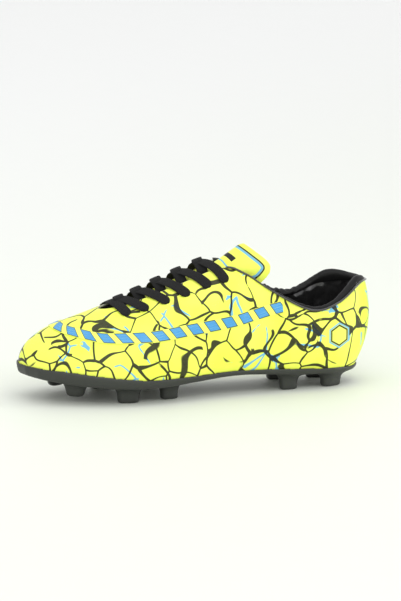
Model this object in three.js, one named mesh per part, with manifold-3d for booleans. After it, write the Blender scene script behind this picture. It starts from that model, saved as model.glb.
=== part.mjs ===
// A left-foot soccer cleat with a moulded, studded outsole and a flat-laced low upper, in millimetres.
// The toe points to -X and the heel to +X, -Y is the outer (lateral) side, +Z is up, and the studs stand
// on Z = 0. The upper is a surface of ribs: rib t starts on the lasting edge and climbs over the side to the
// top line. t runs from the toe (0) round the outer side to the heel (HEEL) and back along the inner side;
// r runs up a rib.
import * as THREE from "three";
import { mergeVertices } from "three/addons/utils/BufferGeometryUtils.js";
import Module from "manifold-3d";

const wasm = await Module();
wasm.setup();

// ---------- driving dimensions ----------
const CENTRING = [-2, 0.67, 0]; // moves the ribs' own frame to the middle of the shoe's footprint
const GAP = 0.3; // clearance between neighbouring pieces
const SHELL = 1.3; // outer material of the upper
const BACKER = 0.6; // reinforcements and linings
const COUNTER = 1; // heel stiffener
const SEAM_TAPE = 0.4;
const FOOT_PLATE = 1.8; // lasting board
const SOCK_FOAM = 4; // footbed foam
const SOCK_CLOTH = 0.6; // footbed top cloth
const RIM_WALL = 2; // side wall of the outsole's cup
const LACE_WIDTH = 8.5;
const LACE_THICKNESS = 1.2;
const LACE_PEG = 1.7; // radius of the lace where it is squeezed through an eyelet
const EYELET = 2.3; // eyelet radius
const BAND_WIDTH = 9.5; // decorative band
const BAND_THICKNESS = 0.5;
const TONGUE_FACE = 0.9;
const TONGUE_FOAM = 2.6;
const TONGUE_BACK = 0.6;

// Rib numbers of the landmarks.
const THROAT = 3; // front of the lace opening
const CORNER = 6; // upper end of the eyelet rows
const HEEL = 12;
const RIB_COUNT = 24;

// Each rib is a cubic curve: lasting edge (its height is the floor's), belly handle, crown handle, top.
const RIBS = [
  [[-139.5, 9], [-144, 9, 42.5], [-123, 6, 56.5], [-101, 4.3, 62]],
  [[-130, -15], [-133.5, -18, 40.5], [-118, -10.5, 56.8], [-98, 4.2, 63]],
  [[-107, -32.5], [-108.5, -38, 38], [-100, -20, 62.4], [-90, 3.2, 65.6]],
  [[-77, -43.5], [-77.5, -50, 37], [-80, -28, 68.7], [-78, 2.2, 69.6]],
  [[-47, -46.5], [-47, -53, 42], [-52, -31, 77], [-57, 1.2, 77]],
  [[-12, -40.5], [-12, -48, 52], [-16, -31, 91.5], [-22, 0.5, 91.5]],
  [[22, -34], [22, -44, 62], [21, -31, 106], [18, 0, 105]],
  [[39, -32], [39, -40, 48], [39, -32, 90], [37, -13, 97]],
  [[58, -31], [58, -38, 42], [58, -34, 66], [57, -26.5, 81.2]],
  [[86, -30], [87, -36, 33], [88, -35.5, 52], [89, -30.5, 64.8]],
  [[110, -28], [112, -33, 34], [115, -33, 54], [112.5, -27.5, 69]],
  [[127.5, -18.5], [136.5, -22, 35], [138, -22, 61], [133, -18, 82]],
  [[134.5, 0], [148, 0, 35], [149.5, 0, 60], [143, 0, 81.4]],
  [[127.5, 18.5], [136.5, 22, 35], [138, 22, 60], [133, 18, 79.8]],
  [[110, 28], [112, 33, 34], [115, 33, 56], [112, 27.5, 76.8]],
  [[86, 29], [87, 35, 33], [87.5, 34.5, 54], [86, 29.5, 68.5]],
  [[58, 26.5], [58, 34, 42], [57, 32, 68], [56, 26, 80.8]],
  [[39, 26], [39, 35, 50], [39, 31, 91], [37, 13, 97.5]],
  [[22, 27.5], [22, 39, 64], [21, 30.5, 107], [18, 0, 105]],
  [[-12, 33], [-12, 44, 54], [-16, 31.5, 91.5], [-22, 0.5, 91.5]],
  [[-47, 41.5], [-47, 49.5, 43], [-52, 32, 77.3], [-57, 1.2, 77]],
  [[-77, 45], [-77.5, 51, 38], [-80, 31, 69], [-78, 2.2, 69.6]],
  [[-107, 39.5], [-108.5, 45, 38.5], [-100, 26.5, 63], [-90, 3.2, 65.6]],
  [[-130, 28.5], [-133.5, 32, 40.5], [-117.5, 20, 57.2], [-98, 4.2, 63]],
];

// Height of the floor along the shoe, and how much higher it is under the inner edge: [x, height] points.
const FLOOR = [
  [-140, 24.6], [-129, 23.4], [-106, 20], [-77, 17.2], [-47, 16.2],
  [-12, 17.4], [22, 18.8], [58, 17.6], [88, 16], [134, 15.2],
];
const ARCH = [[-77, 0], [-47, 0.9], [-12, 2], [22, 1.8], [58, 0.9], [88, 0]];

// Profiles along the shoe, as [rib, value] points; rib is counted from the toe on either side.
const TOP_LINE = [
  [0, 1], [3, 1], [3.12, 0.955], [3.35, 0.915], [3.7, 0.88], [4.2, 0.85],
  [5, 0.815], [6, 0.79], [6.5, 0.83], [7, 0.905], [8, 1],
  [12, 1],
];
const RIM_HEIGHT = [
  [0, 5], [1, 5.4], [2, 7.2], [3, 6], [4, 4], [5, 3], [6, 2.2], [8, 2.2], [9, 2.4], [10, 2], [12, 1.5],
];
const SOLE_THICKNESS = [[0, 4], [4, 4], [5, 3.4], [6, 2.7], [7, 2.7], [8, 3.3], [9, 3.8], [12, 3.8]];
const SPINE_X = [
  [0, -112], [2, -92], [3, -75], [4, -47], [5, -12], [6, 22],
  [7, 39], [8, 58], [9, 82], [10, 95], [11, 102], [12, 104],
];
const ROLL_HEIGHT = [[6, 1], [7, 2], [8, 2.4], [9, 3], [9.8, 3.2], [10.4, 5], [11, 4.8], [12, 3]];

// Studs: [x, y, turn in degrees, length at the tip, width at the tip, height of the tip above the ground]
const STUDS = [
  [-102, -17, -32, 14, 9, 4.5], [-104, 29, 24, 14, 9, 4.5],
  [-63, -31, -10, 16, 9, 0], [-67, 30, 6, 16, 9, 0],
  [-28, -26, 8, 13, 9, 0], [-29, 22, -8, 13, 9, 0],
  [73, -20, 2, 13, 9, 0], [76, 21, -2, 13, 9, 0],
  [109.5, -17, 22, 16, 9, 0], [109.5, 18, -22, 16, 9, 0],
];
const STUD_SIDES = 12;
const STUD_ROOT = 1.6; // how far below the floor the studs' roots end, inside the sole
const STUD_FLARE = 5.5; // how much wider a stud's root is than its tip, each way

const EYELET_RIBS = [3.74, 4.2, 4.66, 5.1, 5.53, 5.92]; // outer row
const EYELET_SHIFT = 0.2; // how much nearer the toe the inner row lies, in ribs
const EYELET_INSET = 0.13; // how far below the throat's edge the eyelets lie, as a share of the rib
const ROUND_SIDES = 8; // sides of an eyelet and of the lace inside it
const BAND_HEIGHT = [
  [0, 58.6], [1, 57.6], [2, 55.2], [3, 52.2], [4, 52.6],
  [5, 56.4], [6, 60.6], [7, 63.6], [8, 67.6], [9, 71.6],
];
const BAND_END = 8.25; // rib where the band stops on either side
// Row of the tongue's side edges.
const TONGUE_ROW = [[2.5, 0.72], [3.5, 0.62], [5, 0.64], [5.5, 0.67], [6, 0.79]];

// ---------- small maths ----------
const add = (a, b, k = 1) => a.map((v, i) => v + k * b[i]);
const mix = (a, b, k) => a.map((v, i) => v + (b[i] - v) * k);
const cross = (a, b) => [a[1] * b[2] - a[2] * b[1], a[2] * b[0] - a[0] * b[2], a[0] * b[1] - a[1] * b[0]];
const unit = (a) => a.map((v) => v / Math.hypot(...a));
const clamp = (v, low, high) => Math.min(high, Math.max(low, v));
const range = (from, to, steps) =>
  Array.from({ length: steps + 1 }, (_, i) => from + ((to - from) * i) / steps);

function smooth(from, to, v) {
  const s = clamp((v - from) / (to - from), 0, 1);
  return s * s * (3 - 2 * s);
}

// Catmull-Rom curve through four values, between the middle two.
const catmull = (a, b, c, d, s) =>
  b + 0.5 * s * (c - a + s * (2 * a - 5 * b + 4 * c - d + s * (3 * (b - c) + d - a)));

// A profile's value at x, on a smooth curve through its points that never overshoots them.
function profile(points, x) {
  const last = points.length - 1;
  let i = 0;
  while (i < last - 1 && x > points[i + 1][0]) i++;
  const rise = (k) => (points[k + 1][1] - points[k][1]) / (points[k + 1][0] - points[k][0]);
  const slope = (k) => {
    if (k === 0 || k === last || rise(k - 1) * rise(k) <= 0) return 0;
    return (2 * rise(k - 1) * rise(k)) / (rise(k - 1) + rise(k));
  };
  const [x0, y0] = points[i];
  const [x1, y1] = points[i + 1];
  const s = clamp((x - x0) / (x1 - x0), 0, 1);
  const [m0, m1] = [slope(i) * (x1 - x0), slope(i + 1) * (x1 - x0)];
  return y0 + s * (m0 + s * (3 * (y1 - y0) - 2 * m0 - m1 + s * (2 * (y0 - y1) + m0 + m1)));
}

// ---------- the last's surface ----------
const wrap = (t) => ((t % RIB_COUNT) + RIB_COUNT) % RIB_COUNT;
const fromToe = (t) => Math.min(wrap(t), RIB_COUNT - wrap(t));

const floorHeight = (x, y) => profile(FLOOR, x) + profile(ARCH, x) * clamp(y / 30, 0, 1);

function ribHandles(t) {
  const i = Math.floor(wrap(t));
  const s = wrap(t) - i;
  const rib = (k) => RIBS[(i + k + RIB_COUNT) % RIB_COUNT];
  const handle = (h, c) => catmull(rib(-1)[h][c], rib(0)[h][c], rib(1)[h][c], rib(2)[h][c], s);
  const foot = [handle(0, 0), handle(0, 1)];
  return [[...foot, floorHeight(...foot)], ...[1, 2, 3].map((h) => [0, 1, 2].map((c) => handle(h, c)))];
}

function surface(t, r) {
  const [a, b, c, d] = ribHandles(t);
  const q = 1 - r;
  const shares = [q * q * q, 3 * q * q * r, 3 * q * r * r, r * r * r];
  return [0, 1, 2].map((k) => shares[0] * a[k] + shares[1] * b[k] + shares[2] * c[k] + shares[3] * d[k]);
}

function oneSidedNormal(t, r) {
  const along = add(surface(t + 0.02, r), surface(t - 0.02, r), -1);
  const up = add(surface(t, r + 0.01), surface(t, r - 0.01), -1);
  return unit(cross(along, up));
}

// Outward normal; on the ridge, where the two sides meet, it is the mean of both.
function normal(t, r) {
  const near = Math.min(r, 0.985);
  const n = oneSidedNormal(t, near);
  if (fromToe(t) > CORNER + 0.5 || r < 0.999) return n;
  return unit(add(n, oneSidedNormal(RIB_COUNT - wrap(t), near)));
}

// A point on the surface, moved out by d.
const onSurface = (t, r, d) => add(surface(t, r), normal(t, r), d);
const topLine = (t) => profile(TOP_LINE, fromToe(t));
const edgePoint = (t) => surface(t, 0);

// How far inside the outer surface the lining's outer face lies: it is padded round the ankle.
const QUARTER_DEPTH = 3.7;
const PADDING = 3;
const PADDING_TAPER = 0.35; // share of the padding that is gone at the top line

function liningDepth(t, r) {
  const a = fromToe(t);
  if (a < CORNER) return SHELL + BACKER + 3 * GAP;
  const padding = PADDING * smooth(6.4, 9, a);
  return QUARTER_DEPTH + padding * (smooth(0.45, 0.75, r) - PADDING_TAPER * smooth(0.85, 1, r));
}

// ---------- solids from grids ----------
function solidFrom(triangles) {
  const made = new THREE.BufferGeometry();
  made.setAttribute("position", new THREE.Float32BufferAttribute(triangles.flat(2), 3));
  const merged = mergeVertices(made, 1e-3);
  const solid = new wasm.Manifold(
    new wasm.Mesh({
      numProp: 3,
      vertProperties: new Float32Array(merged.attributes.position.array),
      triVerts: new Uint32Array(merged.index.array),
    }),
  );
  return solid.volume() < 0 ? solidFrom(triangles.map(([a, b, c]) => [a, c, b])) : solid;
}

function geometryOf(solid) {
  const mesh = solid.getMesh();
  const geometry = new THREE.BufferGeometry();
  geometry.setAttribute("position", new THREE.BufferAttribute(new Float32Array(mesh.vertProperties), 3));
  geometry.setIndex(new THREE.BufferAttribute(new Uint32Array(mesh.triVerts), 1));
  return geometry;
}

function solidOfGeometry(geometry) {
  const source = geometry.index ? geometry.toNonIndexed() : geometry;
  const p = source.attributes.position;
  const corners = Array.from({ length: p.count }, (_, i) => [p.getX(i), p.getY(i), p.getZ(i)]);
  return solidFrom(corners.flatMap((_, i) => (i % 3 ? [] : [[corners[i], corners[i + 1], corners[i + 2]]])));
}

const quad = (a, b, c, d) => [[a, b, c], [a, c, d]];
const same = (a, b) => Math.hypot(...add(a, b, -1)) < 1e-3;
const proper = ([a, b, c]) => !same(a, b) && !same(b, c) && !same(a, c);

// A closed loop of points swept over columns; the columns close on themselves, or get end caps.
function sweep(loops, closed) {
  const triangles = [];
  const columns = loops.length;
  const points = loops[0].length;
  for (let i = 0; i < (closed ? columns : columns - 1); i++) {
    const next = loops[(i + 1) % columns];
    for (let k = 0; k < points; k++) {
      const m = (k + 1) % points;
      triangles.push(...quad(loops[i][k], loops[i][m], next[m], next[k]));
    }
  }
  if (!closed) {
    const fan = (loop) => loop.slice(2).map((_, k) => [loop[0], loop[k + 1], loop[k + 2]]);
    triangles.push(...fan(loops[0]).map(([a, b, c]) => [a, c, b]), ...fan(loops[columns - 1]));
  }
  return solidFrom(triangles.filter(proper));
}

// Rows that every layer of the upper shares, so that neighbouring layers stay parallel.
const ROWS = 6;
const FOOT_ROW = 0.015; // the inner layers start just above the lasting board's underside
const rowOf = (t, k) => (k / ROWS) * topLine(t);

// A skin between two depths over the given ribs, from row first to row last of the shared rows, less a trim.
// Ahead of the throat the two sides meet on the ridge and share its points.
function skin({ ribs, outer, inner, first = 0, last = ROWS, ring = false, foot = FOOT_ROW, trim = 0 }) {
  const rows = last - first;
  const grid = ribs.map((t) => {
    const heights = range(first, last, rows).map((k) => Math.max(foot, rowOf(t, k < last ? k : k - trim)));
    return {
      meets: fromToe(t) <= THROAT + 1e-6 && last === ROWS,
      out: heights.map((r) => onSurface(t, r, -outer(t, r))),
      into: heights.map((r) => onSurface(t, r, -inner(t, r))),
    };
  });
  return gridSolid(grid, rows, ring);
}

function gridSolid(grid, rows, ring) {
  const triangles = [];
  const count = grid.length;
  for (let i = 0; i < (ring ? count : count - 1); i++) {
    const a = grid[i];
    const b = grid[(i + 1) % count];
    for (let j = 0; j < rows; j++) {
      triangles.push(...quad(a.out[j], b.out[j], b.out[j + 1], a.out[j + 1]));
      triangles.push(...quad(a.into[j], a.into[j + 1], b.into[j + 1], b.into[j]));
    }
    triangles.push(...quad(a.out[0], a.into[0], b.into[0], b.out[0]));
    if (!(a.meets && b.meets)) triangles.push(...quad(a.out[rows], b.out[rows], b.into[rows], a.into[rows]));
  }
  if (!ring) {
    for (const [end, flip] of [[grid[0], false], [grid[count - 1], true]]) {
      for (let j = 0; j < rows; j++) {
        const face = quad(end.out[j], end.out[j + 1], end.into[j + 1], end.into[j]);
        triangles.push(...(flip ? face.map(([p, q, s]) => [p, s, q]) : face));
      }
    }
  }
  return solidFrom(triangles.filter(proper));
}

// Columns all round the shoe, closer together at the front of the throat.
const HALF_RIBS = [...range(0, 3, 6), 3.12, 3.35, ...range(3.7, 6, 6), ...range(6.5, HEEL, 11)];
const RING_RIBS = [...HALF_RIBS, ...HALF_RIBS.slice(1, -1).reverse().map((a) => RIB_COUNT - a)];
const between = (low, high) => [low, ...RING_RIBS.filter((t) => t > low + 0.05 && t < high - 0.05), high];
// Ribs of the front of the shoe, from the inner side through the toe to the outer side.
function aroundToe(reach) {
  const half = [...HALF_RIBS.filter((t) => t < reach - 0.05), reach];
  return [...half.slice(1).reverse().map((t) => -t), ...half];
}

// ---------- bottom unit ----------
// Point under the foot: share 0 lies on the lasting edge moved in by inset, share 1 on the middle line.
function floorPoint(t, share, inset, lift) {
  const a = fromToe(t);
  const edge = edgePoint(t);
  const n = normal(t, 0);
  const rim = add(edge, unit([n[0], n[1], 0]), -inset);
  const middle = [profile(SPINE_X, a), (edgePoint(a)[1] + edgePoint(RIB_COUNT - a)[1]) / 2];
  const [x, y] = mix(rim, middle, share);
  return [x, y, floorHeight(x, y) + lift];
}

function plate({ inset, low, high, edge = 0 }) {
  const loops = RING_RIBS.map((t) => [
    floorPoint(t, 1, inset(t), low),
    floorPoint(t, 0.3, inset(t), low),
    floorPoint(t, 0, inset(t), low),
    floorPoint(t, 0, inset(t), high + edge),
    floorPoint(t, 0.3, inset(t), high),
    floorPoint(t, 1, inset(t), high),
  ]);
  return openSweep(loops);
}

// Like sweep, for loops whose first and last points lie on the middle line, where the two sides meet.
function openSweep(loops) {
  const triangles = [];
  const count = loops.length;
  const points = loops[0].length;
  for (let i = 0; i < count; i++) {
    const next = loops[(i + 1) % count];
    for (let k = 0; k < points - 1; k++) {
      triangles.push(...quad(loops[i][k], loops[i][k + 1], next[k + 1], next[k]));
    }
  }
  return solidFrom(triangles.filter(proper));
}

// The row at which rib t reaches a height.
function rowAt(t, height) {
  let [low, high] = [0, 1];
  for (let i = 0; i < 24; i++) {
    const middle = (low + high) / 2;
    if (surface(t, middle)[2] < height) low = middle;
    else high = middle;
  }
  return low;
}

function stud([x, y, turn, length, width, tip]) {
  const root = floorHeight(x, y) - GAP - STUD_ROOT;
  const levels = [[tip, 0], [tip + 1, 0.7], [root - 5, 1.5], [root - 2.2, 2.8], [root, STUD_FLARE]];
  const angle = (turn * Math.PI) / 180;
  const loops = levels.map(([z, grow], level) => {
    const round = level === 0 ? 0.86 : 1;
    return range(0, STUD_SIDES - 1, STUD_SIDES - 1).map((k) => {
      const a = (k / STUD_SIDES) * 2 * Math.PI;
      const squash = (v) => Math.sign(v) * Math.abs(v) ** 0.6;
      const u = squash(Math.cos(a)) * (length / 2 + grow) * round;
      const v = squash(Math.sin(a)) * (width / 2 + grow) * round;
      const [c, s] = [Math.cos(angle), Math.sin(angle)];
      return [x + u * c - v * s, y + u * s + v * c, z];
    });
  });
  return sweep(loops, false);
}

// The cup's wall leans out from the foot's edge and up to a row of the upper.
const CUP_TUCK = 0.4; // how far inside the foot's edge the underside ends

function outsole() {
  const loops = RING_RIBS.map((t) => {
    const a = fromToe(t);
    const thick = profile(SOLE_THICKNESS, a);
    const row = rowAt(t, edgePoint(t)[2] + profile(RIM_HEIGHT, a));
    const n = normal(t, 0);
    const outward = unit([n[0], n[1], 0]);
    const edge = edgePoint(t);
    const at = (out, up) => add(add(edge, outward, out), [0, 0, up]);
    return [
      floorPoint(t, 1, 0, -GAP - thick),
      floorPoint(t, 0.4, 0, -GAP - thick),
      at(-CUP_TUCK, -GAP - thick),
      at(RIM_WALL - CUP_TUCK, -GAP - thick * 0.55),
      onSurface(t, row * 0.5, GAP + RIM_WALL),
      onSurface(t, row, GAP + RIM_WALL * 0.8),
      onSurface(t, row, GAP),
      onSurface(t, row * 0.5, GAP),
      at(GAP, -GAP),
      floorPoint(t, 0.4, 0, -GAP),
      floorPoint(t, 1, 0, -GAP),
    ];
  });
  return STUDS.reduce((body, place) => body.add(stud(place)), openSweep(loops));
}

// ---------- eyelets and lace ----------
const eyeletRow = (t) => topLine(t) - EYELET_INSET;
const sideRib = (rib, inner) => (inner ? RIB_COUNT - rib : rib);
const eyeletRib = (k, inner) => EYELET_RIBS[k] - (inner ? EYELET_SHIFT : 0);

// Calls visit(rib counted from the toe, whether inner) for each eyelet.
function eachEyelet(visit) {
  EYELET_RIBS.forEach((_, k) => [false, true].forEach((inner) => visit(eyeletRib(k, inner), inner)));
}

function cutter(t, r, from, to, radius, sides) {
  const length = to - from;
  const n = new THREE.Vector3(...normal(t, r));
  const geometry = new THREE.CylinderGeometry(radius, radius, length, sides);
  geometry.applyQuaternion(new THREE.Quaternion().setFromUnitVectors(new THREE.Vector3(0, 1, 0), n));
  geometry.translate(...onSurface(t, r, (from + to) / 2));
  geometry.deleteAttribute("normal");
  geometry.deleteAttribute("uv");
  return solidOfGeometry(geometry);
}

function withEyelets(solid) {
  let cut = solid;
  eachEyelet((rib, inner) => {
    const t = sideRib(rib, inner);
    cut = cut.subtract(cutter(t, eyeletRow(t), -6, 3, EYELET, ROUND_SIDES));
  });
  return cut;
}

// A flat ribbon along points that each carry the direction of the surface's normal.
function ribbon(stations, width, thickness) {
  const loops = stations.map(({ at, up }, i) => {
    const before = stations[Math.max(0, i - 1)].at;
    const after = stations[Math.min(stations.length - 1, i + 1)].at;
    const across = unit(cross(unit(add(after, before, -1)), up));
    const lift = unit(cross(across, unit(add(after, before, -1))));
    const corner = (w, h) => add(add(at, across, (w * width) / 2), lift, (h * thickness) / 2);
    return [corner(-1, -1), corner(1, -1), corner(1, 1), corner(-1, 1)];
  });
  return sweep(loops, false);
}

// Lace stations in the plane of the throat: share 0 is the inner eyelet and share 1 the outer one.
function laceStations(innerRib, outerRib, depths) {
  const start = sideRib(innerRib, true);
  return depths.map(([share, depth]) => {
    const rib = innerRib + (outerRib - innerRib) * share;
    const reach = Math.abs(2 * share - 1);
    const t = share < 0.5 ? RIB_COUNT - rib : rib;
    const r = 1 - reach * (1 - eyeletRow(share < 0.5 ? start : outerRib));
    const up = share === 0.5 ? unit(add(normal(rib, 0.96), normal(RIB_COUNT - rib, 0.96))) : normal(t, r);
    const ridge = () => mix(onSurface(rib, 1, depth), onSurface(RIB_COUNT - rib, 1, depth), 0.5);
    const at = share === 0.5 ? ridge() : onSurface(t, r, depth);
    return { at, up };
  });
}

// Depths of a lace along its way over the throat, as [share, height above the upper] points.
const OVER = 1.2; // height of a lace lying on the eyelet row
const CREST = 1.7;
const UNDER = -4.7; // depth of a lace running under the eyelet row
const BAR = [[0, OVER], [0.2, OVER], [0.4, 1.5], [0.5, CREST], [0.6, 1.5], [0.8, OVER], [1, OVER]];
const RISING = [
  [0, UNDER], [0.13, UNDER], [0.265, UNDER], [0.33, -1.2], [0.4, 0.8],
  [0.5, CREST], [0.64, CREST], [0.8, OVER], [1, OVER],
];

function lace() {
  const flat = (innerRib, outerRib, depths) =>
    ribbon(laceStations(innerRib, outerRib, depths), LACE_WIDTH, LACE_THICKNESS);
  const falling = RISING.map(([share, depth]) => [1 - share, depth]).reverse();
  const pieces = [flat(eyeletRib(0, true), eyeletRib(0, false), BAR)];
  for (let k = 0; k < EYELET_RIBS.length - 1; k++) {
    pieces.push(flat(eyeletRib(k, true), eyeletRib(k + 1, false), RISING));
    pieces.push(flat(eyeletRib(k + 1, true), eyeletRib(k, false), falling));
  }
  eachEyelet((rib, inner) => {
    const t = sideRib(rib, inner);
    pieces.push(cutter(t, eyeletRow(t), UNDER - 0.5, OVER + 0.4, LACE_PEG, ROUND_SIDES));
  });
  for (const inner of [false, true]) pieces.push(ribbon(tailStations(inner), TAIL_WIDTH, LACE_THICKNESS));
  return pieces.reduce((body, piece) => body.add(piece));
}

// The lace's ends are tucked down between the tongue and the lining, and carry the aglets.
const LAST_EYELET = EYELET_RIBS.length - 1;
const TAIL_DROP = 0.3; // how far down the rib the end reaches
const TAIL_WIDTH = 0.6 * LACE_WIDTH; // the lace is folded narrower there
const AGLET_WIDTH = 2.4;
const AGLET_THICKNESS = 2;
const tailRib = (inner) => sideRib(eyeletRib(LAST_EYELET, inner), inner);

function tailStations(inner) {
  const t = tailRib(inner);
  return range(0, 1, 6).map((s) => {
    const r = eyeletRow(t) - TAIL_DROP * s;
    return { at: onSurface(t, r, UNDER - 0.6 * s), up: normal(t, r) };
  });
}

function aglet(inner) {
  const t = tailRib(inner);
  const stations = range(0, 1, 4).map((s) => {
    const r = eyeletRow(t) - TAIL_DROP - 0.012 - 0.12 * s;
    return { at: onSurface(t, r, UNDER - 0.7), up: normal(t, r) };
  });
  return ribbon(stations, AGLET_WIDTH, AGLET_THICKNESS);
}

// ---------- tongue ----------
const TONGUE_START = 2.7; // rib of the tongue's front end
const TONGUE_BEND = 5.98; // rib where the free flap starts
const TONGUE_DEPTH = SHELL + 2 * BACKER + 3 * GAP + LACE_THICKNESS + 1.8; // clears the lace under the eyelets
const TONGUE_CROWN = 2.2; // how much the tongue bulges up through the throat

// Point of the tongue: a is the rib, b runs from -1 at the inner edge to 1 at the outer edge.
function tonguePoint(a, b, depth) {
  const r = 1 - Math.abs(b) * (1 - profile(TONGUE_ROW, a));
  const crown = TONGUE_CROWN * smooth(3.2, 4.2, a) * (1 - smooth(0.1, 0.5, Math.abs(b)));
  const sides = [a, RIB_COUNT - a].map((t) => onSurface(t, r, crown - TONGUE_DEPTH - depth));
  return Math.abs(b) < 1e-6 ? mix(sides[0], sides[1], 0.5) : sides[b > 0 ? 0 : 1];
}

// The free flap's top edge from the inner to the outer side, rounded at both corners.
const FLAP_TOP = [
  [-1, [45.5, 16.5, 88]], [-0.85, [50, 17.5, 98.5]], [-0.6, [47, 15.5, 108]],
  [-0.3, [43, 10, 114]], [0, [43, 2.5, 116]],
  [0.3, [48.9, -8, 111.3]], [0.6, [57.7, -15, 103.2]], [0.7, [59.3, -16.4, 99.8]],
  [0.85, [58.8, -17.2, 95]], [1, [50.5, -16.2, 85]],
];
const FLAP_WAIST = 3.2; // how much the flap draws in where it passes between the collar's ends

// Point of the flap: s runs from 0 at the bend to 1 at the top edge, b as in tonguePoint.
function flapPoint(s, b, depth) {
  const root = tonguePoint(TONGUE_BEND, b, 0);
  const top = [0, 1, 2].map((c) => profile(FLAP_TOP.map(([at, p]) => [at, p[c]]), b));
  const [x, y, z] = mix(root, top, s);
  const waist = FLAP_WAIST * 4 * s * (1 - s) * b * b;
  const out = unit([-0.5 * (1 - Math.abs(b)), -0.7 * b, 1 - 0.75 * b * b]);
  return add([x, y + Math.sign(b) * waist, z], out, -depth);
}

function sheet(point, along, across, from, to) {
  const loops = along.map((a) => [
    ...across.map((b) => point(a, b, from)),
    ...[...across].reverse().map((b) => point(a, b, to)),
  ]);
  return stripSolid(loops);
}

// A sheet's loops run over the top and back under it; the end caps are strips of quads.
function stripSolid(loops) {
  const triangles = [];
  const points = loops[0].length;
  const half = points / 2;
  for (let i = 0; i < loops.length - 1; i++) {
    for (let k = 0; k < points; k++) {
      const m = (k + 1) % points;
      const corners = [loops[i][k], loops[i][m], loops[i + 1][m], loops[i + 1][k]];
      triangles.push(...quad(...(k < half ? corners : [corners[3], ...corners.slice(0, 3)])));
    }
  }
  for (const [loop, flip] of [[loops[0], true], [loops[loops.length - 1], false]]) {
    for (let k = 0; k < half - 1; k++) {
      const face = quad(loop[k], loop[k + 1], loop[points - 2 - k], loop[points - 1 - k]);
      triangles.push(...(flip ? face.map(([p, q, s]) => [p, s, q]) : face));
    }
  }
  return solidFrom(triangles.filter(proper));
}

// Depths of the tongue's three layers below its face.
const FACE = [0, TONGUE_FACE];
const FOAM = [FACE[1] + GAP, FACE[1] + GAP + TONGUE_FOAM];
const LINING = [FOAM[1] + GAP, FOAM[1] + GAP + TONGUE_BACK];
const ACROSS = [-1, -0.9, -0.75, -0.6, -0.4, -0.2, 0, 0.2, 0.4, 0.6, 0.75, 0.9, 1];
const TONGUE_ALONG = [TONGUE_START, 3.1, 3.5, 4, 4.5, 5, 5.5, TONGUE_BEND - 0.03];
const FLAP_ALONG = [0.03, 0.25, 0.5, 0.75, 1];

const tongueLayer = ([from, to]) => sheet(tonguePoint, TONGUE_ALONG, ACROSS, from, to);
const flapLayer = ([from, to]) => sheet(flapPoint, FLAP_ALONG, ACROSS, from, to);

// ---------- collar ----------
const COLLAR_START = 6.1; // rib where the collar's roll and piping start on either side
const PIPING_RADIUS = 0.8;
const PIPING_SIDES = 6;
// Section of the roll: [share of its width, share of its height] points.
const ROLL_OUTLINE = [[-0.1, 0], [0, 0.45], [-0.18, 0.85], [-0.5, 1], [-0.82, 0.85], [-1, 0.45], [-0.95, 0]];
const collarRibs = between(COLLAR_START, RIB_COUNT - COLLAR_START);

// Frame on the top line: out, and up along the rib.
function topFrame(t) {
  const r = topLine(t);
  const up = unit(add(surface(t, r), surface(t, r - 0.02), -1));
  return { at: surface(t, r), out: normal(t, r), up };
}

function collarRoll() {
  const loops = collarRibs.map((t) => {
    const { at, out, up } = topFrame(t);
    const width = (liningDepth(t, topLine(t)) + BACKER) * smooth(5.4, 7, fromToe(t));
    const height = profile(ROLL_HEIGHT, fromToe(t));
    return ROLL_OUTLINE.map(([w, h]) => add(add(at, out, w * width - 0.2), up, GAP + h * height));
  });
  return sweep(loops, false);
}

function collarBinding() {
  const loops = collarRibs.map((t) => {
    const { at, out, up } = topFrame(t);
    const centre = add(add(at, out, PIPING_RADIUS + GAP), up, -PIPING_RADIUS);
    return range(0, PIPING_SIDES - 1, PIPING_SIDES - 1).map((k) => {
      const angle = (k / PIPING_SIDES) * 2 * Math.PI;
      return add(add(centre, out, PIPING_RADIUS * Math.cos(angle)), up, PIPING_RADIUS * Math.sin(angle));
    });
  });
  return sweep(loops, false);
}

// ---------- decorative band ----------
function sideBand() {
  const grid = aroundToe(BAND_END).map((t) => {
    const r = rowAt(t, profile(BAND_HEIGHT, fromToe(t)));
    const perRow = Math.hypot(...add(surface(t, r + 0.02), surface(t, r - 0.02), -1)) / 0.04;
    const half = BAND_WIDTH / 2 / perRow;
    const rows = [r - half, r, r + half];
    const layer = (d) => rows.map((row) => onSurface(t, row, d));
    return { out: layer(2 * GAP + BAND_THICKNESS), into: layer(2 * GAP) };
  });
  return gridSolid(grid, 2, false);
}

// ---------- the pieces ----------
const constant = (v) => () => v;
const backed = SHELL + GAP; // depth of the first layer behind the shell
const STIFFENER_DEPTH = backed + 0.7; // clears the tape over the back seam
const boardInset = (t) => liningDepth(t, 0) + BACKER + 2 * GAP;
const liningBack = (t, r) => liningDepth(t, r) + BACKER;

const upperShell = () =>
  withEyelets(skin({ ribs: RING_RIBS, outer: constant(0), inner: constant(SHELL), ring: true, foot: 0 }));

const vampLining = () =>
  withEyelets(skin({ ribs: aroundToe(CORNER - 0.03), outer: liningDepth, inner: liningBack }));

const quarterLining = () =>
  skin({ ribs: between(CORNER + 0.05, RIB_COUNT - CORNER - 0.05), outer: liningDepth, inner: liningBack });

const collarFoam = () =>
  skin({
    ribs: between(6.5, RIB_COUNT - 6.5), first: 3, trim: 0.12, outer: constant(STIFFENER_DEPTH),
    inner: (t, r) => liningDepth(t, r) - GAP,
  });

const heelCounter = () =>
  skin({
    ribs: between(9, RIB_COUNT - 9), last: 3, trim: 0.1,
    outer: constant(STIFFENER_DEPTH), inner: constant(STIFFENER_DEPTH + COUNTER),
  });

const heelTape = () =>
  skin({
    ribs: between(HEEL - 0.5, HEEL + 0.5), outer: constant(backed), inner: constant(backed + SEAM_TAPE),
  });

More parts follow.
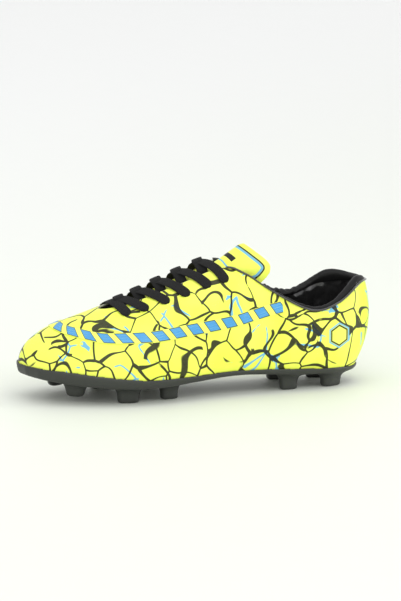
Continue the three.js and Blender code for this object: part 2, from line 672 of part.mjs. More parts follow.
const toePuff = () =>
  skin({ ribs: aroundToe(2.5), last: 5, outer: constant(backed), inner: constant(backed + BACKER) });

function eyestay(inner) {
  const ribs = between(3.35, CORNER - 0.03).map((a) => sideRib(a, inner));
  return withEyelets(skin({
    ribs: inner ? ribs.reverse() : ribs, first: 4, outer: constant(backed), inner: constant(backed + BACKER),
  }));
}

// Plain colours that tell the materials apart.
const FINISHES = {
  sole: { color: 0x1a1b1c, roughness: 0.45, metalness: 0 },
  board: { color: 0x9a8466, roughness: 0.9, metalness: 0 },
  foam: { color: 0x2a2a2c, roughness: 0.95, metalness: 0 },
  cloth: { color: 0x151516, roughness: 0.9, metalness: 0 },
  upper: { color: 0xe6f51e, roughness: 0.4, metalness: 0 },
  band: { color: 0x3f97d8, roughness: 0.35, metalness: 0 },
  black: { color: 0x111112, roughness: 0.35, metalness: 0 },
  stiffener: { color: 0xd9d6cc, roughness: 0.8, metalness: 0 },
  lace: { color: 0x17171a, roughness: 0.85, metalness: 0 },
  tip: { color: 0x0c0c0d, roughness: 0.25, metalness: 0 },
};

// The footbed's foam turns up along its edge, and the cloth lies on it.
const SOCK_EDGE = 1.2;
const FOAM_LOW = FOOT_PLATE + GAP;
const CLOTH_LOW = FOAM_LOW + SOCK_FOAM + SOCK_EDGE + GAP;
const footbedFoam = () =>
  plate({ inset: boardInset, low: FOAM_LOW, high: FOAM_LOW + SOCK_FOAM, edge: SOCK_EDGE });
const footbedCloth = () => plate({ inset: boardInset, low: CLOTH_LOW, high: CLOTH_LOW + SOCK_CLOTH });

// Every piece: its name, what makes it and its finish.
const PIECES = [
  ["outsole", outsole, "sole"],
  ["lasting_board", () => plate({ inset: boardInset, low: 0, high: FOOT_PLATE }), "board"],
  ["footbed_foam", footbedFoam, "foam"],
  ["footbed_cloth", footbedCloth, "cloth"],
  ["upper_shell", upperShell, "upper"],
  ["side_band", sideBand, "band"],
  ["vamp_lining", vampLining, "cloth"],
  ["quarter_lining", quarterLining, "black"],
  ["collar_foam", collarFoam, "foam"],
  ["collar_roll", collarRoll, "black"],
  ["collar_binding", collarBinding, "black"],
  ["heel_counter", heelCounter, "stiffener"],
  ["heel_seam_tape", heelTape, "cloth"],
  ["toe_puff", toePuff, "stiffener"],
  ["eyestay_backer_outer", () => eyestay(false), "cloth"],
  ["eyestay_backer_inner", () => eyestay(true), "cloth"],
  ["tongue_face", () => tongueLayer(FACE), "upper"],
  ["tongue_foam", () => tongueLayer(FOAM), "foam"],
  ["tongue_lining", () => tongueLayer(LINING), "black"],
  ["tongue_flap_face", () => flapLayer(FACE), "upper"],
  ["tongue_flap_foam", () => flapLayer(FOAM), "foam"],
  ["tongue_flap_lining", () => flapLayer(LINING), "black"],
  ["lace", lace, "lace"],
  ["aglet_outer", () => aglet(false), "tip"],
  ["aglet_inner", () => aglet(true), "tip"],
];

const shoe = new THREE.Group();
shoe.position.set(...CENTRING);
for (const [name, make, finish] of PIECES) {
  const mesh = new THREE.Mesh(geometryOf(make()), new THREE.MeshStandardMaterial(FINISHES[finish]));
  mesh.name = name;
  shoe.add(mesh);
}

export default shoe;
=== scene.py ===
# A left-foot soccer cleat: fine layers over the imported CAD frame, procedural materials and soft studio light.
# Shapes are worked out in millimetres in the CAD source's rib frame and become metres when a mesh is made.
import math

import bmesh
import bpy
import numpy as np
from mathutils import Euler, Matrix, Vector, noise


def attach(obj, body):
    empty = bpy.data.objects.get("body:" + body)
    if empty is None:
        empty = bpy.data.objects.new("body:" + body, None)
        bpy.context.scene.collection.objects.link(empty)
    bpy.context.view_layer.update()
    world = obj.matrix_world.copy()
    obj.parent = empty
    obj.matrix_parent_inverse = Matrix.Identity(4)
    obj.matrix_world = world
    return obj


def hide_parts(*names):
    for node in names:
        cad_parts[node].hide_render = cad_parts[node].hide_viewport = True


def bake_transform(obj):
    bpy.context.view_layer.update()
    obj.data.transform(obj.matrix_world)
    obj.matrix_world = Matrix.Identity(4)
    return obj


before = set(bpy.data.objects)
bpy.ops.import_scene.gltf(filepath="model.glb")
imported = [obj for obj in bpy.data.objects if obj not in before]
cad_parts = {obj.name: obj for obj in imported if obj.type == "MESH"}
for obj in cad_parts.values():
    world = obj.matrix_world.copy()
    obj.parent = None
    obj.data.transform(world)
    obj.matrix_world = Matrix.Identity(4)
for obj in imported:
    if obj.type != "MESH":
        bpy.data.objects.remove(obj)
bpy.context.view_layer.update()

MM = 0.001
CENTRING = np.array([-2, 0.67, 0])  # from the rib frame to the part's origin
GAP = 0.3  # clearance between neighbouring pieces
SHELL = 1.3  # thickness of the upper
BACKER = 0.6  # thickness of the linings and reinforcements
BACKED = SHELL + GAP  # depth at which what backs the upper starts
FOOT_PLATE = 1.8  # height of the lasting board's top above the floor
SOCK_FOAM = 4
SOCK_CLOTH = 0.6
LACE_WIDTH = 8.5
LACE_THICKNESS = 1.2
LACE_PEG = 1.7  # half width of the lace inside an eyelet
EYELET = 2.3  # radius of an eyelet
BAND_WIDTH = 9.5
BAND_THICKNESS = 0.5
# Ribs are counted from the toe round the outer side.
THROAT = 3  # rib at the throat's front end
CORNER = 6  # rib at the throat's back end
HEEL = 12
RIB_COUNT = 24

# Each rib: lasting edge (its height is the floor's), belly handle, crown handle, top.
RIBS = [
    ((-139.5, 9, 0), (-144, 9, 42.5), (-123, 6, 56.5), (-101, 4.3, 62)),
    ((-130, -15, 0), (-133.5, -18, 40.5), (-118, -10.5, 56.8), (-98, 4.2, 63)),
    ((-107, -32.5, 0), (-108.5, -38, 38), (-100, -20, 62.4), (-90, 3.2, 65.6)),
    ((-77, -43.5, 0), (-77.5, -50, 37), (-80, -28, 68.7), (-78, 2.2, 69.6)),
    ((-47, -46.5, 0), (-47, -53, 42), (-52, -31, 77), (-57, 1.2, 77)),
    ((-12, -40.5, 0), (-12, -48, 52), (-16, -31, 91.5), (-22, 0.5, 91.5)),
    ((22, -34, 0), (22, -44, 62), (21, -31, 106), (18, 0, 105)),
    ((39, -32, 0), (39, -40, 48), (39, -32, 90), (37, -13, 97)),
    ((58, -31, 0), (58, -38, 42), (58, -34, 66), (57, -26.5, 81.2)),
    ((86, -30, 0), (87, -36, 33), (88, -35.5, 52), (89, -30.5, 64.8)),
    ((110, -28, 0), (112, -33, 34), (115, -33, 54), (112.5, -27.5, 69)),
    ((127.5, -18.5, 0), (136.5, -22, 35), (138, -22, 61), (133, -18, 82)),
    ((134.5, 0, 0), (148, 0, 35), (149.5, 0, 60), (143, 0, 81.4)),
    ((127.5, 18.5, 0), (136.5, 22, 35), (138, 22, 60), (133, 18, 79.8)),
    ((110, 28, 0), (112, 33, 34), (115, 33, 56), (112, 27.5, 76.8)),
    ((86, 29, 0), (87, 35, 33), (87.5, 34.5, 54), (86, 29.5, 68.5)),
    ((58, 26.5, 0), (58, 34, 42), (57, 32, 68), (56, 26, 80.8)),
    ((39, 26, 0), (39, 35, 50), (39, 31, 91), (37, 13, 97.5)),
    ((22, 27.5, 0), (22, 39, 64), (21, 30.5, 107), (18, 0, 105)),
    ((-12, 33, 0), (-12, 44, 54), (-16, 31.5, 91.5), (-22, 0.5, 91.5)),
    ((-47, 41.5, 0), (-47, 49.5, 43), (-52, 32, 77.3), (-57, 1.2, 77)),
    ((-77, 45, 0), (-77.5, 51, 38), (-80, 31, 69), (-78, 2.2, 69.6)),
    ((-107, 39.5, 0), (-108.5, 45, 38.5), (-100, 26.5, 63), (-90, 3.2, 65.6)),
    ((-130, 28.5, 0), (-133.5, 32, 40.5), (-117.5, 20, 57.2), (-98, 4.2, 63)),
]
HANDLES = np.array(RIBS, float)

# Profiles as (place, value) points; FLOOR and ARCH run along x, the others from rib to rib.
FLOOR = (
    (-140, 24.6), (-129, 23.4), (-106, 20), (-77, 17.2), (-47, 16.2),
    (-12, 17.4), (22, 18.8), (58, 17.6), (88, 16), (134, 15.2),
)
ARCH = ((-77, 0), (-47, 0.9), (-12, 2), (22, 1.8), (58, 0.9), (88, 0))
TOP_LINE = (
    (0, 1), (3, 1), (3.12, 0.955), (3.35, 0.915), (3.7, 0.88), (4.2, 0.85),
    (5, 0.815), (6, 0.79), (6.5, 0.83), (7, 0.905), (8, 1), (12, 1),
)
SPINE_X = (
    (0, -112), (2, -92), (3, -75), (4, -47), (5, -12), (6, 22),
    (7, 39), (8, 58), (9, 82), (10, 95), (11, 102), (12, 104),
)
ROLL_HEIGHT = ((6, 1), (7, 2), (8, 2.4), (9, 3), (9.8, 3.2), (10.4, 5), (11, 4.8), (12, 3))
BAND_HEIGHT = (
    (0, 58.6), (1, 57.6), (2, 55.2), (3, 52.2), (4, 52.6),
    (5, 56.4), (6, 60.6), (7, 63.6), (8, 67.6), (9, 71.6),
)
BAND_END = 8.25
BLOCK_PITCH = 14.5  # from one printed block of the band to the next
BLOCK_SPACE = 5  # plain film between two blocks
BLOCK_LEAN = 0.55  # how far a block leans along the band for each unit across it
BLOCK_LINE = 0.45  # width of a block's outline
BLOCK_INSET = 0.35  # from the band's edge to a block
TONGUE_ROW = ((2.5, 0.72), (3.5, 0.62), (5, 0.64), (5.5, 0.67), (6, 0.79))
EYELET_RIBS = (3.74, 4.2, 4.66, 5.1, 5.53, 5.92)
EYELET_SHIFT = 0.2  # how much nearer the toe the inner row lies, in ribs
EYELET_INSET = 0.13  # how far below the throat's edge the eyelets lie, as a share of the rib
OUTER_ROW = np.array(EYELET_RIBS)
INNER_ROW = OUTER_ROW - EYELET_SHIFT
EYELETS = np.concatenate([OUTER_ROW, RIB_COUNT - INNER_ROW])


# --- camera ---
AZIMUTH = math.radians(-18)
ELEVATION = math.radians(11)
DISTANCE = 4.8
LENS = 363
AIM_RIGHT = 0.0042
AIM_UP = 0.0706
CLIP_END = 50


def link_object(name, data):
    made = bpy.data.objects.new(name, data)
    bpy.context.scene.collection.objects.link(made)
    return made


def make_camera():
    data = bpy.data.cameras.new("camera")
    data.lens = LENS
    data.clip_end = CLIP_END
    camera = link_object("camera", data)
    turn = Euler((math.pi / 2 - ELEVATION, 0, AZIMUTH))
    camera.rotation_euler = turn
    camera.location = turn.to_matrix() @ Vector((AIM_RIGHT, AIM_UP, DISTANCE))
    bpy.context.scene.camera = camera


make_camera()


# --- small maths, on arrays ---
def profile(points, x):
    """A smooth curve through the points that never overshoots them."""
    xs, ys = (np.array(v, float) for v in zip(*points))
    rise = np.diff(ys) / np.diff(xs)
    slope = np.zeros(len(xs))
    before, after = rise[:-1], rise[1:]
    same = before * after > 0
    slope[1:-1][same] = 2 * before[same] * after[same] / (before[same] + after[same])
    x = np.asarray(x, float)
    i = np.searchsorted(xs[1:-1], x)
    width = xs[i + 1] - xs[i]
    s = np.clip((x - xs[i]) / width, 0, 1)
    m0, m1 = slope[i] * width, slope[i + 1] * width
    y0, y1 = ys[i], ys[i + 1]
    return y0 + s * (m0 + s * (3 * (y1 - y0) - 2 * m0 - m1 + s * (2 * (y0 - y1) + m0 + m1)))


def smooth(low, high, v):
    """0 below low, 1 above high, smooth between them."""
    s = np.clip((np.asarray(v, float) - low) / (high - low), 0, 1)
    return s * s * (3 - 2 * s)


def unit(v):
    return v / np.maximum(np.linalg.norm(v, axis=-1, keepdims=True), 1e-12)


def mix(a, b, k):
    """Points between a and b, at the shares k."""
    return a + (b - a) * np.asarray(k)[..., None]


def catmull(a, b, c, d, s):
    """A smooth curve from b to c, at the share s."""
    return b + 0.5 * s * (c - a + s * (2 * a - 5 * b + 4 * c - d + s * (3 * (b - c) + d - a)))


def floor_height(x, y):
    return profile(FLOOR, x) + profile(ARCH, x) * np.clip(y / 30, 0, 1)


def from_toe(t):
    """Ribs from the toe, counted the same way on both sides."""
    t = np.mod(t, RIB_COUNT)
    return np.minimum(t, RIB_COUNT - t)


def top_line(t):
    return profile(TOP_LINE, from_toe(t))


def ring_angles(count):
    return np.arange(count) / count * 2 * math.pi


def power(v, exponent):
    """Each value to a power, with its sign kept."""
    return np.sign(v) * np.abs(v) ** exponent


def lengths_along(points):
    """The length along a line of points at each point, from 0."""
    steps = np.linalg.norm(np.diff(points, axis=0), axis=-1)
    return np.concatenate([[0], np.cumsum(steps)])


def beside(at, out, up, across, rise):
    """Rings of points round each station: across goes outwards, rise goes upwards."""
    return at[:, None] + out[:, None] * across[..., None] + up[:, None] * rise[..., None]


# --- the upper's surface ---
# t is the place round the shoe in ribs, and r runs from 0 at the lasting edge to 1 at the top.
AT_MIDDLE = 1e-6  # a place this close to the middle line counts as on it


def rib_handles(t):
    t = np.mod(t, RIB_COUNT)
    i = np.floor(t).astype(int)
    s = (t - i)[..., None, None]
    h = catmull(*(HANDLES[(i + k) % RIB_COUNT] for k in (-1, 0, 1, 2)), s)
    h[..., 0, 2] = floor_height(h[..., 0, 0], h[..., 0, 1])
    return h


def surface(t, r):
    t, r = np.broadcast_arrays(np.asarray(t, float), np.asarray(r, float))
    edge, belly, crown, top = np.moveaxis(rib_handles(t), -2, 0)
    r = r[..., None]
    q = 1 - r
    return q**3 * edge + 3 * q * q * r * belly + 3 * q * r * r * crown + r**3 * top


def side_normal(t, r):
    along = surface(t + 0.02, r) - surface(t - 0.02, r)
    up = surface(t, r + 0.01) - surface(t, r - 0.01)
    return unit(np.cross(along, up))


def normal(t, r):
    """Outward normal; towards the ridge it turns into the mean of both sides."""
    t, r = np.broadcast_arrays(np.asarray(t, float), np.asarray(r, float))
    near = np.minimum(r, 0.985)
    n = side_normal(t, near)
    share = smooth(0.93, 1, r) * (from_toe(t) <= CORNER + 0.5)
    return unit(n + share[..., None] * side_normal(RIB_COUNT - t, near))


def on_surface(t, r, d):
    return surface(t, r) + normal(t, r) * np.asarray(d, float)[..., None]


def lining_depth(t, r):
    """How deep the lining's outer face lies: the collar is padded."""
    a = from_toe(t)
    swell = 3 * smooth(6.4, 9, a)
    quarter = 3.7 + swell * (smooth(0.45, 0.75, r) - 0.35 * smooth(0.85, 1, r))
    return np.where(a < CORNER, SHELL + BACKER + 3 * GAP, quarter)


def with_middle(t, r, middle):
    """Points and outward directions; where middle is true, the mean of both sides' at that place."""
    point, out = surface(t, r), normal(t, r)
    other, other_out = surface(RIB_COUNT - t, r), normal(RIB_COUNT - t, r)
    middle = middle[..., None]
    return np.where(middle, (point + other) / 2, point), np.where(middle, unit(out + other_out), out)


def row_at(t, height):
    """The row at which each rib reaches a height."""
    low, high = np.zeros_like(t), np.ones_like(t)
    for _ in range(24):
        middle = (low + high) / 2
        below = surface(t, middle)[..., 2] < height
        low = np.where(below, middle, low)
        high = np.where(below, high, middle)
    return low


def wobble(points, size, amount, seed=0):
    """Smooth noise at each point, from -amount to amount; size is in millimetres."""
    flat = points.reshape(-1, 3) / size + seed * 17.3
    return amount * np.array([noise.noise(Vector(p)) for p in flat]).reshape(points.shape[:-1])


# --- meshes from grids of points ---
class Shape:
    """Grids of points in millimetres that are joined into one mesh."""

    def __init__(self):
        self.points, self.faces, self.uvs, self.slots = [], [], [], []
        self.count = 0

    def grid(self, points, uv=None, closed=False, skip=None, slot=0):
        columns, rows = points.shape[:2]
        index = self.count + np.arange(columns * rows).reshape(columns, rows)
        if closed:
            index = np.vstack([index, index[:1]])
        quads = np.stack([index[:-1, :-1], index[1:, :-1], index[1:, 1:], index[:-1, 1:]], -1)
        if skip is not None:
            quads = quads[~skip]
        quads = quads.reshape(-1, 4)
        self.points.append(points.reshape(-1, 3))
        self.faces.append(quads)
        self.slots += [slot] * len(quads)
        self.uvs.append(np.zeros((columns * rows, 2)) if uv is None else uv.reshape(-1, 2))
        self.count += columns * rows

    def strip(self, one, two, uv=None, **settings):
        """A strip of faces between two lines of points that share their UV."""
        self.grid(np.stack([one, two], 1), None if uv is None else np.stack([uv, uv], 1), **settings)

    def build(self, name, materials, sharp=50, weld=0.02):
        points = (np.vstack(self.points) + CENTRING) * MM
        faces = np.vstack(self.faces)
        mesh = bpy.data.meshes.new(name)
        mesh.from_pydata(points.tolist(), [], faces.tolist())
        uvs = np.vstack(self.uvs)[faces.reshape(-1)]
        mesh.uv_layers.new(name="UVMap").data.foreach_set("uv", uvs.reshape(-1).astype(np.float32))
        mesh.polygons.foreach_set("material_index", self.slots)
        for material in materials:
            mesh.materials.append(material)
        weld_mesh(mesh, weld, sharp)
        return link_object(name, mesh)


def weld_mesh(mesh, distance, sharp):
    """Joins points that lie together, and shades all smooth but the edges sharper than an angle."""
    work = bmesh.new()
    work.from_mesh(mesh)
    bmesh.ops.remove_doubles(work, verts=work.verts, dist=distance * MM)
    bmesh.ops.dissolve_degenerate(work, edges=work.edges, dist=1e-7)
    bmesh.ops.recalc_face_normals(work, faces=work.faces)
    for face in work.faces:
        face.smooth = True
    for edge in work.edges:
        edge.smooth = len(edge.link_faces) != 2 or edge.calc_face_angle(0) < math.radians(sharp)
    work.to_mesh(mesh)
    work.free()


def declare(piece, nodes, body="shoe"):
    """The piece rides on a body (none if it's blended) and stands for CAD nodes, whose parts are hidden."""
    if body:
        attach(piece, body)
    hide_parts(*nodes)
    return piece


RIM_POINTS = 7


def skin(name, ts, depths, materials, first=0.015, last=1, rows=30, ring=False, rim=0, top_slot=0):
    """A layer of the upper between two depths, and between two shares of the top line; rim rounds its top."""
    t = ts[:, None]
    share = np.linspace(0, 1, rows + 1)[None, :]
    top = top_line(t)
    r = first * top + (last - first) * top * share
    outer, inner = depths(t, r)
    out = on_surface(t, r, -outer)
    into = on_surface(t, r, -inner)
    shape = Shape()
    shape.grid(out, closed=ring)
    shape.grid(into, closed=ring)
    # In front of the throat both sides meet at the ridge, where the layer has no upper edge.
    meets = (from_toe(ts) <= THROAT + 1e-6) & (last == 1)
    pairs = meets & np.roll(meets, -1) if ring else (meets[:-1] & meets[1:])
    edge_up = unit(out[:, -1] - out[:, -2])
    angles = np.linspace(0, math.pi, RIM_POINTS if rim else 2)
    centre = (out[:, -1] + into[:, -1]) / 2
    half = (out[:, -1] - into[:, -1]) / 2
    arc = np.stack([centre + half * math.cos(a) + edge_up * rim * math.sin(a) for a in angles], 1)
    arc[meets] = mix(out[meets, -1][:, None], into[meets, -1][:, None], np.linspace(0, 1, len(angles))[None])
    shape.grid(arc, closed=ring, skip=pairs, slot=top_slot)
    shape.strip(into[:, 0], out[:, 0], closed=ring)
    if not ring:
        for end in (0, -1):
            shape.strip(out[end], into[end])
    return shape.build(name, materials)


# Places of the fine layers' columns, closer together at the front of the throat.
AT_THROAT = [3.02, 3.05, 3.08, 3.11, 3.16, 3.22, 3.3, 3.4]
HALF = np.concatenate([np.linspace(0, THROAT, 31), AT_THROAT, np.linspace(3.5, HEEL, 103)])
RING = np.concatenate([HALF, RIB_COUNT - HALF[-2:0:-1]])
NEAR = 0.02  # the least distance between two columns, in ribs


def around_toe(reach):
    """Columns round the toe, as far as reach on both sides."""
    half = np.append(HALF[HALF < reach - NEAR], reach)
    return np.concatenate([-half[:0:-1], half])


def between(low, high):
    """Columns from low to high."""
    return np.concatenate([[low], RING[(RING > low + NEAR) & (RING < high - NEAR)], [high]])


def constant(outer, inner):
    """The same two depths everywhere, in the form that skin asks for."""
    return lambda t, r: (outer + 0 * t * r, inner + 0 * t * r)


# --- procedural materials ---
def linear(red, green, blue):
    """A colour given by its screen values, 0 to 255."""
    shares = (value / 255 for value in (red, green, blue))
    return tuple(v / 12.92 if v < 0.0404 else ((v + 0.055) / 1.055) ** 2.4 for v in shares) + (1,)


def grey(value):
    return linear(value, value, value)


class Shader:
    """A material whose colour, roughness and bump come from nodes."""

    def __init__(self, name, **settings):
        self.material = bpy.data.materials.new(name)
        self.material.use_nodes = True
        self.tree = self.material.node_tree
        self.bsdf = self.tree.nodes["Principled BSDF"]
        for socket, value in settings.items():
            self.bsdf.inputs[socket.replace("_", " ")].default_value = value

    def set(self, socket, value):
        if isinstance(value, bpy.types.NodeSocket):
            self.tree.links.new(value, socket)
        else:
            socket.default_value = value

    def node(self, kind, inputs, output=0, **properties):
        made = self.tree.nodes.new(kind)
        for name, value in properties.items():
            setattr(made, name, value)
        for name, value in inputs.items():
            self.set(made.inputs[name], value)
        return made.outputs[output]

    def math(self, operation, *values):
        return self.node("ShaderNodeMath", dict(enumerate(values)), operation=operation)

    def times(self, a, b):
        return self.math("MULTIPLY", a, b)

    def most(self, a, b):
        return self.math("MAXIMUM", a, b)

    def vector(self, operation, *values):
        return self.node("ShaderNodeVectorMath", dict(enumerate(values)), operation=operation)

    def between(self, low, high, value):
        """0 below low, 1 above high, smooth between them."""
        return self.node(
            "ShaderNodeMapRange", {"Value": value, "From Min": low, "From Max": high},
            interpolation_type="SMOOTHSTEP",
        )

    def invert(self, value):
        return self.math("SUBTRACT", 1.0, value)

    def line(self, distance, centre, half, soft):
        """1 within half a line's width of its centre, 0 outside it, with soft edges."""
        off = self.math("ABSOLUTE", self.math("SUBTRACT", distance, centre))
        return self.invert(self.between(half - soft, half + soft, off))

    def lerp(self, low, high, value):
        return self.math("MULTIPLY_ADD", value, high - low, low)

    def mix(self, factor, a, b):
        return self.node("ShaderNodeMix", {0: factor, 6: a, 7: b}, output=2, data_type="RGBA")

    def place(self):
        return self.node("ShaderNodeTexCoord", {}, output="Object")

    def axes(self, vector):
        parts = self.tree.nodes.new("ShaderNodeSeparateXYZ")
        self.tree.links.new(vector, parts.inputs[0])
        return tuple(parts.outputs)

    def uv(self):
        """The piece's own UV, in millimetres."""
        return self.axes(self.node("ShaderNodeTexCoord", {}, output="UV"))[:2]

    def noise(self, vector, scale, detail=2.0, output=0):
        inputs = {"Vector": vector, "Scale": scale, "Detail": detail}
        return self.node("ShaderNodeTexNoise", inputs, output=output)

    def voronoi(self, vector, scale, feature="F1"):
        inputs = {"Vector": vector, "Scale": scale}
        return self.node("ShaderNodeTexVoronoi", inputs, output="Distance", feature=feature)

    def warp(self, vector, scale, amount, detail=1.0):
        """The point, moved by up to half the amount each way."""
        shift = self.vector("SUBTRACT", self.noise(vector, scale, detail, output=1), (0.5, 0.5, 0.5))
        return self.vector("MULTIPLY_ADD", shift, (amount, amount, amount), vector)

    def wave(self, value, period):
        return self.math("SINE", self.times(value, 2 * math.pi / period))

    def bump(self, *layers):
        """layers are (height, distance in metres) pairs, coarse first."""
        before = None
        for height, distance in layers:
            inputs = {"Height": height, "Distance": distance, "Strength": 1.0}
            if before is not None:
                inputs["Normal"] = before
            before = self.node("ShaderNodeBump", inputs)
        self.set(self.bsdf.inputs["Normal"], before)

    def uneven(self, low, high, scale, detail=3):
        """A value that drifts between low and high over the piece."""
        return self.lerp(low, high, self.noise(self.place(), scale, detail))

    def surface(self, color, roughness):
        self.set(self.bsdf.inputs["Base Color"], color)
        self.set(self.bsdf.inputs["Roughness"], roughness)
        return self.material


YELLOW = linear(241, 251, 100)
YELLOW_DEEP = linear(230, 246, 78)
# Painted shade: a deeper, greener yellow that stands in for the shade towards the heel's back.
YELLOW_HEEL_SHADE = linear(212, 246, 40)
CHARCOAL = linear(10, 11, 8)
SKY = linear(112, 182, 216)
HEEL_SHADE_FADE = (0.118, 0.15)  # where along x the painted shade towards the heel sets in, deeper and greener yellow, in metres
HEEL_MARK = (110, 43, 8.5)  # the hexagon's x, z and size


def moved_by(shader, point, seed):
    """The point, moved so that each seed gives its own pattern."""
    return shader.vector("ADD", point, (seed, seed * 0.7, seed * 1.3))


def cracks(shader, point, scale, warp, thin, thick, shown, seed=0.0):
    """Crackle lines as a mask; thin and thick are half widths in millimetres, shown is the share kept."""
    start = moved_by(shader, point, seed)
    moved = shader.warp(start, scale * 1.1, warp, 0.0)
    edge = shader.math("DIVIDE", shader.voronoi(moved, scale, "DISTANCE_TO_EDGE"), scale * MM)
    fat = shader.between(0.42, 0.72, shader.noise(start, scale * 1.1, 1.0))
    kept = shader.between(1 - shown - 0.02, 1 - shown + 0.02, shader.noise(start, scale * 0.7, 2.0))
    half = shader.times(shader.lerp(thin, thick, fat), kept)
    ratio = shader.math("DIVIDE", edge, shader.most(half, 0.001))
    return shader.invert(shader.between(0.8, 1.15, ratio))


def curls(shader, point, scale, half, shown, seed):
    """Loose curling lines as a mask: parts of a noise's level lines, half a line's width in millimetres."""
    start = moved_by(shader, point, seed)
    level = shader.math("ABSOLUTE", shader.math("SUBTRACT", shader.noise(start, scale, 0.0), 0.5))
    width = half * MM * scale * 0.9
    line = shader.invert(shader.between(width * 0.75, width * 1.25, level))
    kept = shader.between(1 - shown - 0.01, 1 - shown + 0.01, shader.noise(start, scale * 0.9, 1.0))
    return shader.times(line, kept)


def hexagon(shader, point, x, z, size):
    """A hexagon outline on the shoe's sides, as masks: outer ring, inner ring, all outside. Millimetres."""
    px, _, pz = shader.axes(point)
    u = shader.math("ABSOLUTE", shader.math("MULTIPLY_ADD", px, 1 / MM, -x))
    v = shader.math("ABSOLUTE", shader.math("MULTIPLY_ADD", pz, 1 / MM, -z))
    upright = shader.times(v, math.sin(math.radians(60)))
    slant = shader.math("MULTIPLY_ADD", u, math.cos(math.radians(60)), upright)
    reach = shader.most(u, slant)
    outer = shader.line(reach, size, 0.575, 0.125)
    inner = shader.line(reach, size - 1.5, 0.625, 0.125)
    return outer, inner, shader.between(size + 0.4, size + 0.8, reach)


def yellow(shader):
    """The upper's yellow, a little deeper in patches."""
    return shader.mix(shader.between(0.3, 0.8, shader.noise(shader.place(), 30, 3)), YELLOW, YELLOW_DEEP)


def printed_upper():
    """Yellow coated synthetic, printed with charcoal crackle lines and loose blue strokes, with painted shade
    towards the heel.
    """
    s = Shader("upper_print", Specular_IOR_Level=0.35, Coat_Weight=0.05, Coat_Roughness=0.3)
    point = s.place()
    mark, mark_inner, outside = hexagon(s, point, *HEEL_MARK)
    crackle = cracks(s, point, 46, warp=0.016, thin=0.68, thick=1.2, shown=0.64)
    loops = curls(s, point, 40, half=0.62, shown=0.48, seed=1.9)
    strokes = cracks(s, point, 60, warp=0.006, thin=0.65, thick=0.9, shown=0.41, seed=0.81)
    black = s.times(s.most(crackle, loops), outside)
    black = s.most(black, mark_inner)
    blue = s.most(s.times(strokes, outside), mark)
    # Painted shade: the yellow turns deeper and greener towards the heel.
    color = s.mix(s.between(*HEEL_SHADE_FADE, s.axes(point)[0]), yellow(s), YELLOW_HEEL_SHADE)
    color = s.mix(blue, color, SKY)
    worn = s.uneven(0.93, 1.0, 900, 2)
    color = s.mix(s.times(black, worn), color, CHARCOAL)
    grain = s.noise(point, 1400, 3)
    s.bump((s.noise(point, 120, 2), 0.0003), (grain, 0.00012), (black, 0.00008))
    return s.surface(color, s.uneven(0.36, 0.52, 260))


EDGE_DARK = linear(150, 152, 146)
EDGE_PALE = linear(205, 206, 198)


def cut_edge():
    """The pale cut edge of the upper material along the throat."""
    s = Shader("cut_edge")
    point = s.place()
    color = s.mix(s.noise(point, 700, 3), EDGE_DARK, EDGE_PALE)
    s.bump((s.noise(point, 1600, 3), 0.0002))
    return s.surface(color, 0.8)


BLOCK_BLUE = linear(66, 152, 214)
MESH_BLUE = linear(140, 206, 208)


def band_film():
    """Yellow film with separate leaning blue blocks, each with a raised mesh and a thin black outline."""
    s = Shader("band_film", Coat_Weight=0.15, Coat_Roughness=0.3)
    along, across = s.uv()
    rows = s.wave(s.math("MULTIPLY_ADD", along, 0.35, across), 0.95)
    dashes = s.wave(s.math("MULTIPLY_ADD", across, 1.6, along), 2.6)
    mesh = s.times(s.between(0.1, 0.8, rows), s.between(-0.3, 0.3, dashes))
    strength = s.between(0.35, 0.65, s.noise(s.place(), 60, 2))
    color = s.mix(s.times(mesh, s.lerp(0.15, 0.75, strength)), BLOCK_BLUE, MESH_BLUE)
    leaning = s.math("MULTIPLY_ADD", across, BLOCK_LEAN, s.math("ABSOLUTE", along))
    from_gap = s.math("SUBTRACT", s.math("PINGPONG", leaning, BLOCK_PITCH / 2), BLOCK_SPACE / 2)
    from_edge = s.math("SUBTRACT", BAND_WIDTH / 2 - BLOCK_INSET, s.math("ABSOLUTE", across))
    inside = s.math("MINIMUM", from_gap, from_edge)
    color = s.mix(s.between(BLOCK_LINE, BLOCK_LINE + 0.25, inside), CHARCOAL, color)
    block = s.between(-0.12, 0.12, inside)
    color = s.mix(block, YELLOW, color)
    s.bump((s.times(mesh, block), 0.00015))
    return s.surface(color, s.uneven(0.34, 0.48, 300, 2))


def black_leather(name, grain=1100, crease=0.0005, rough=(0.24, 0.42), coat=0.1, tones=(9, 27), shine=0.3):
    """Black synthetic leather with soft creases; the coat makes it glossy."""
    s = Shader(name, Specular_IOR_Level=shine, Coat_Weight=coat, Coat_Roughness=0.08)
    point = s.place()
    folds = s.noise(s.warp(point, 60, 0.02), 110, 3)
    color = s.mix(s.noise(point, 90, 3), *(grey(tone) for tone in tones))
    s.bump((folds, crease), (s.voronoi(point, grain), 0.00006))
    return s.surface(color, s.uneven(*rough, 200))


def moulded_sole():
    """Charcoal moulded plastic with a satin skin and faint scuffs."""
    s = Shader("moulded_sole", Coat_Weight=0.1, Coat_Roughness=0.4)
    point = s.place()
    color = s.mix(s.noise(point, 24, 4), linear(34, 36, 33), linear(50, 53, 48))
    scuff = s.between(0.66, 0.78, s.noise(s.vector("MULTIPLY", point, (1, 1, 4)), 140, 4))
    color = s.mix(s.times(scuff, 0.25), color, linear(98, 100, 96))
    s.bump((s.noise(point, 60, 2), 0.0002), (s.noise(point, 2200, 2), 0.00006))
    return s.surface(color, s.uneven(0.38, 0.56, 180))


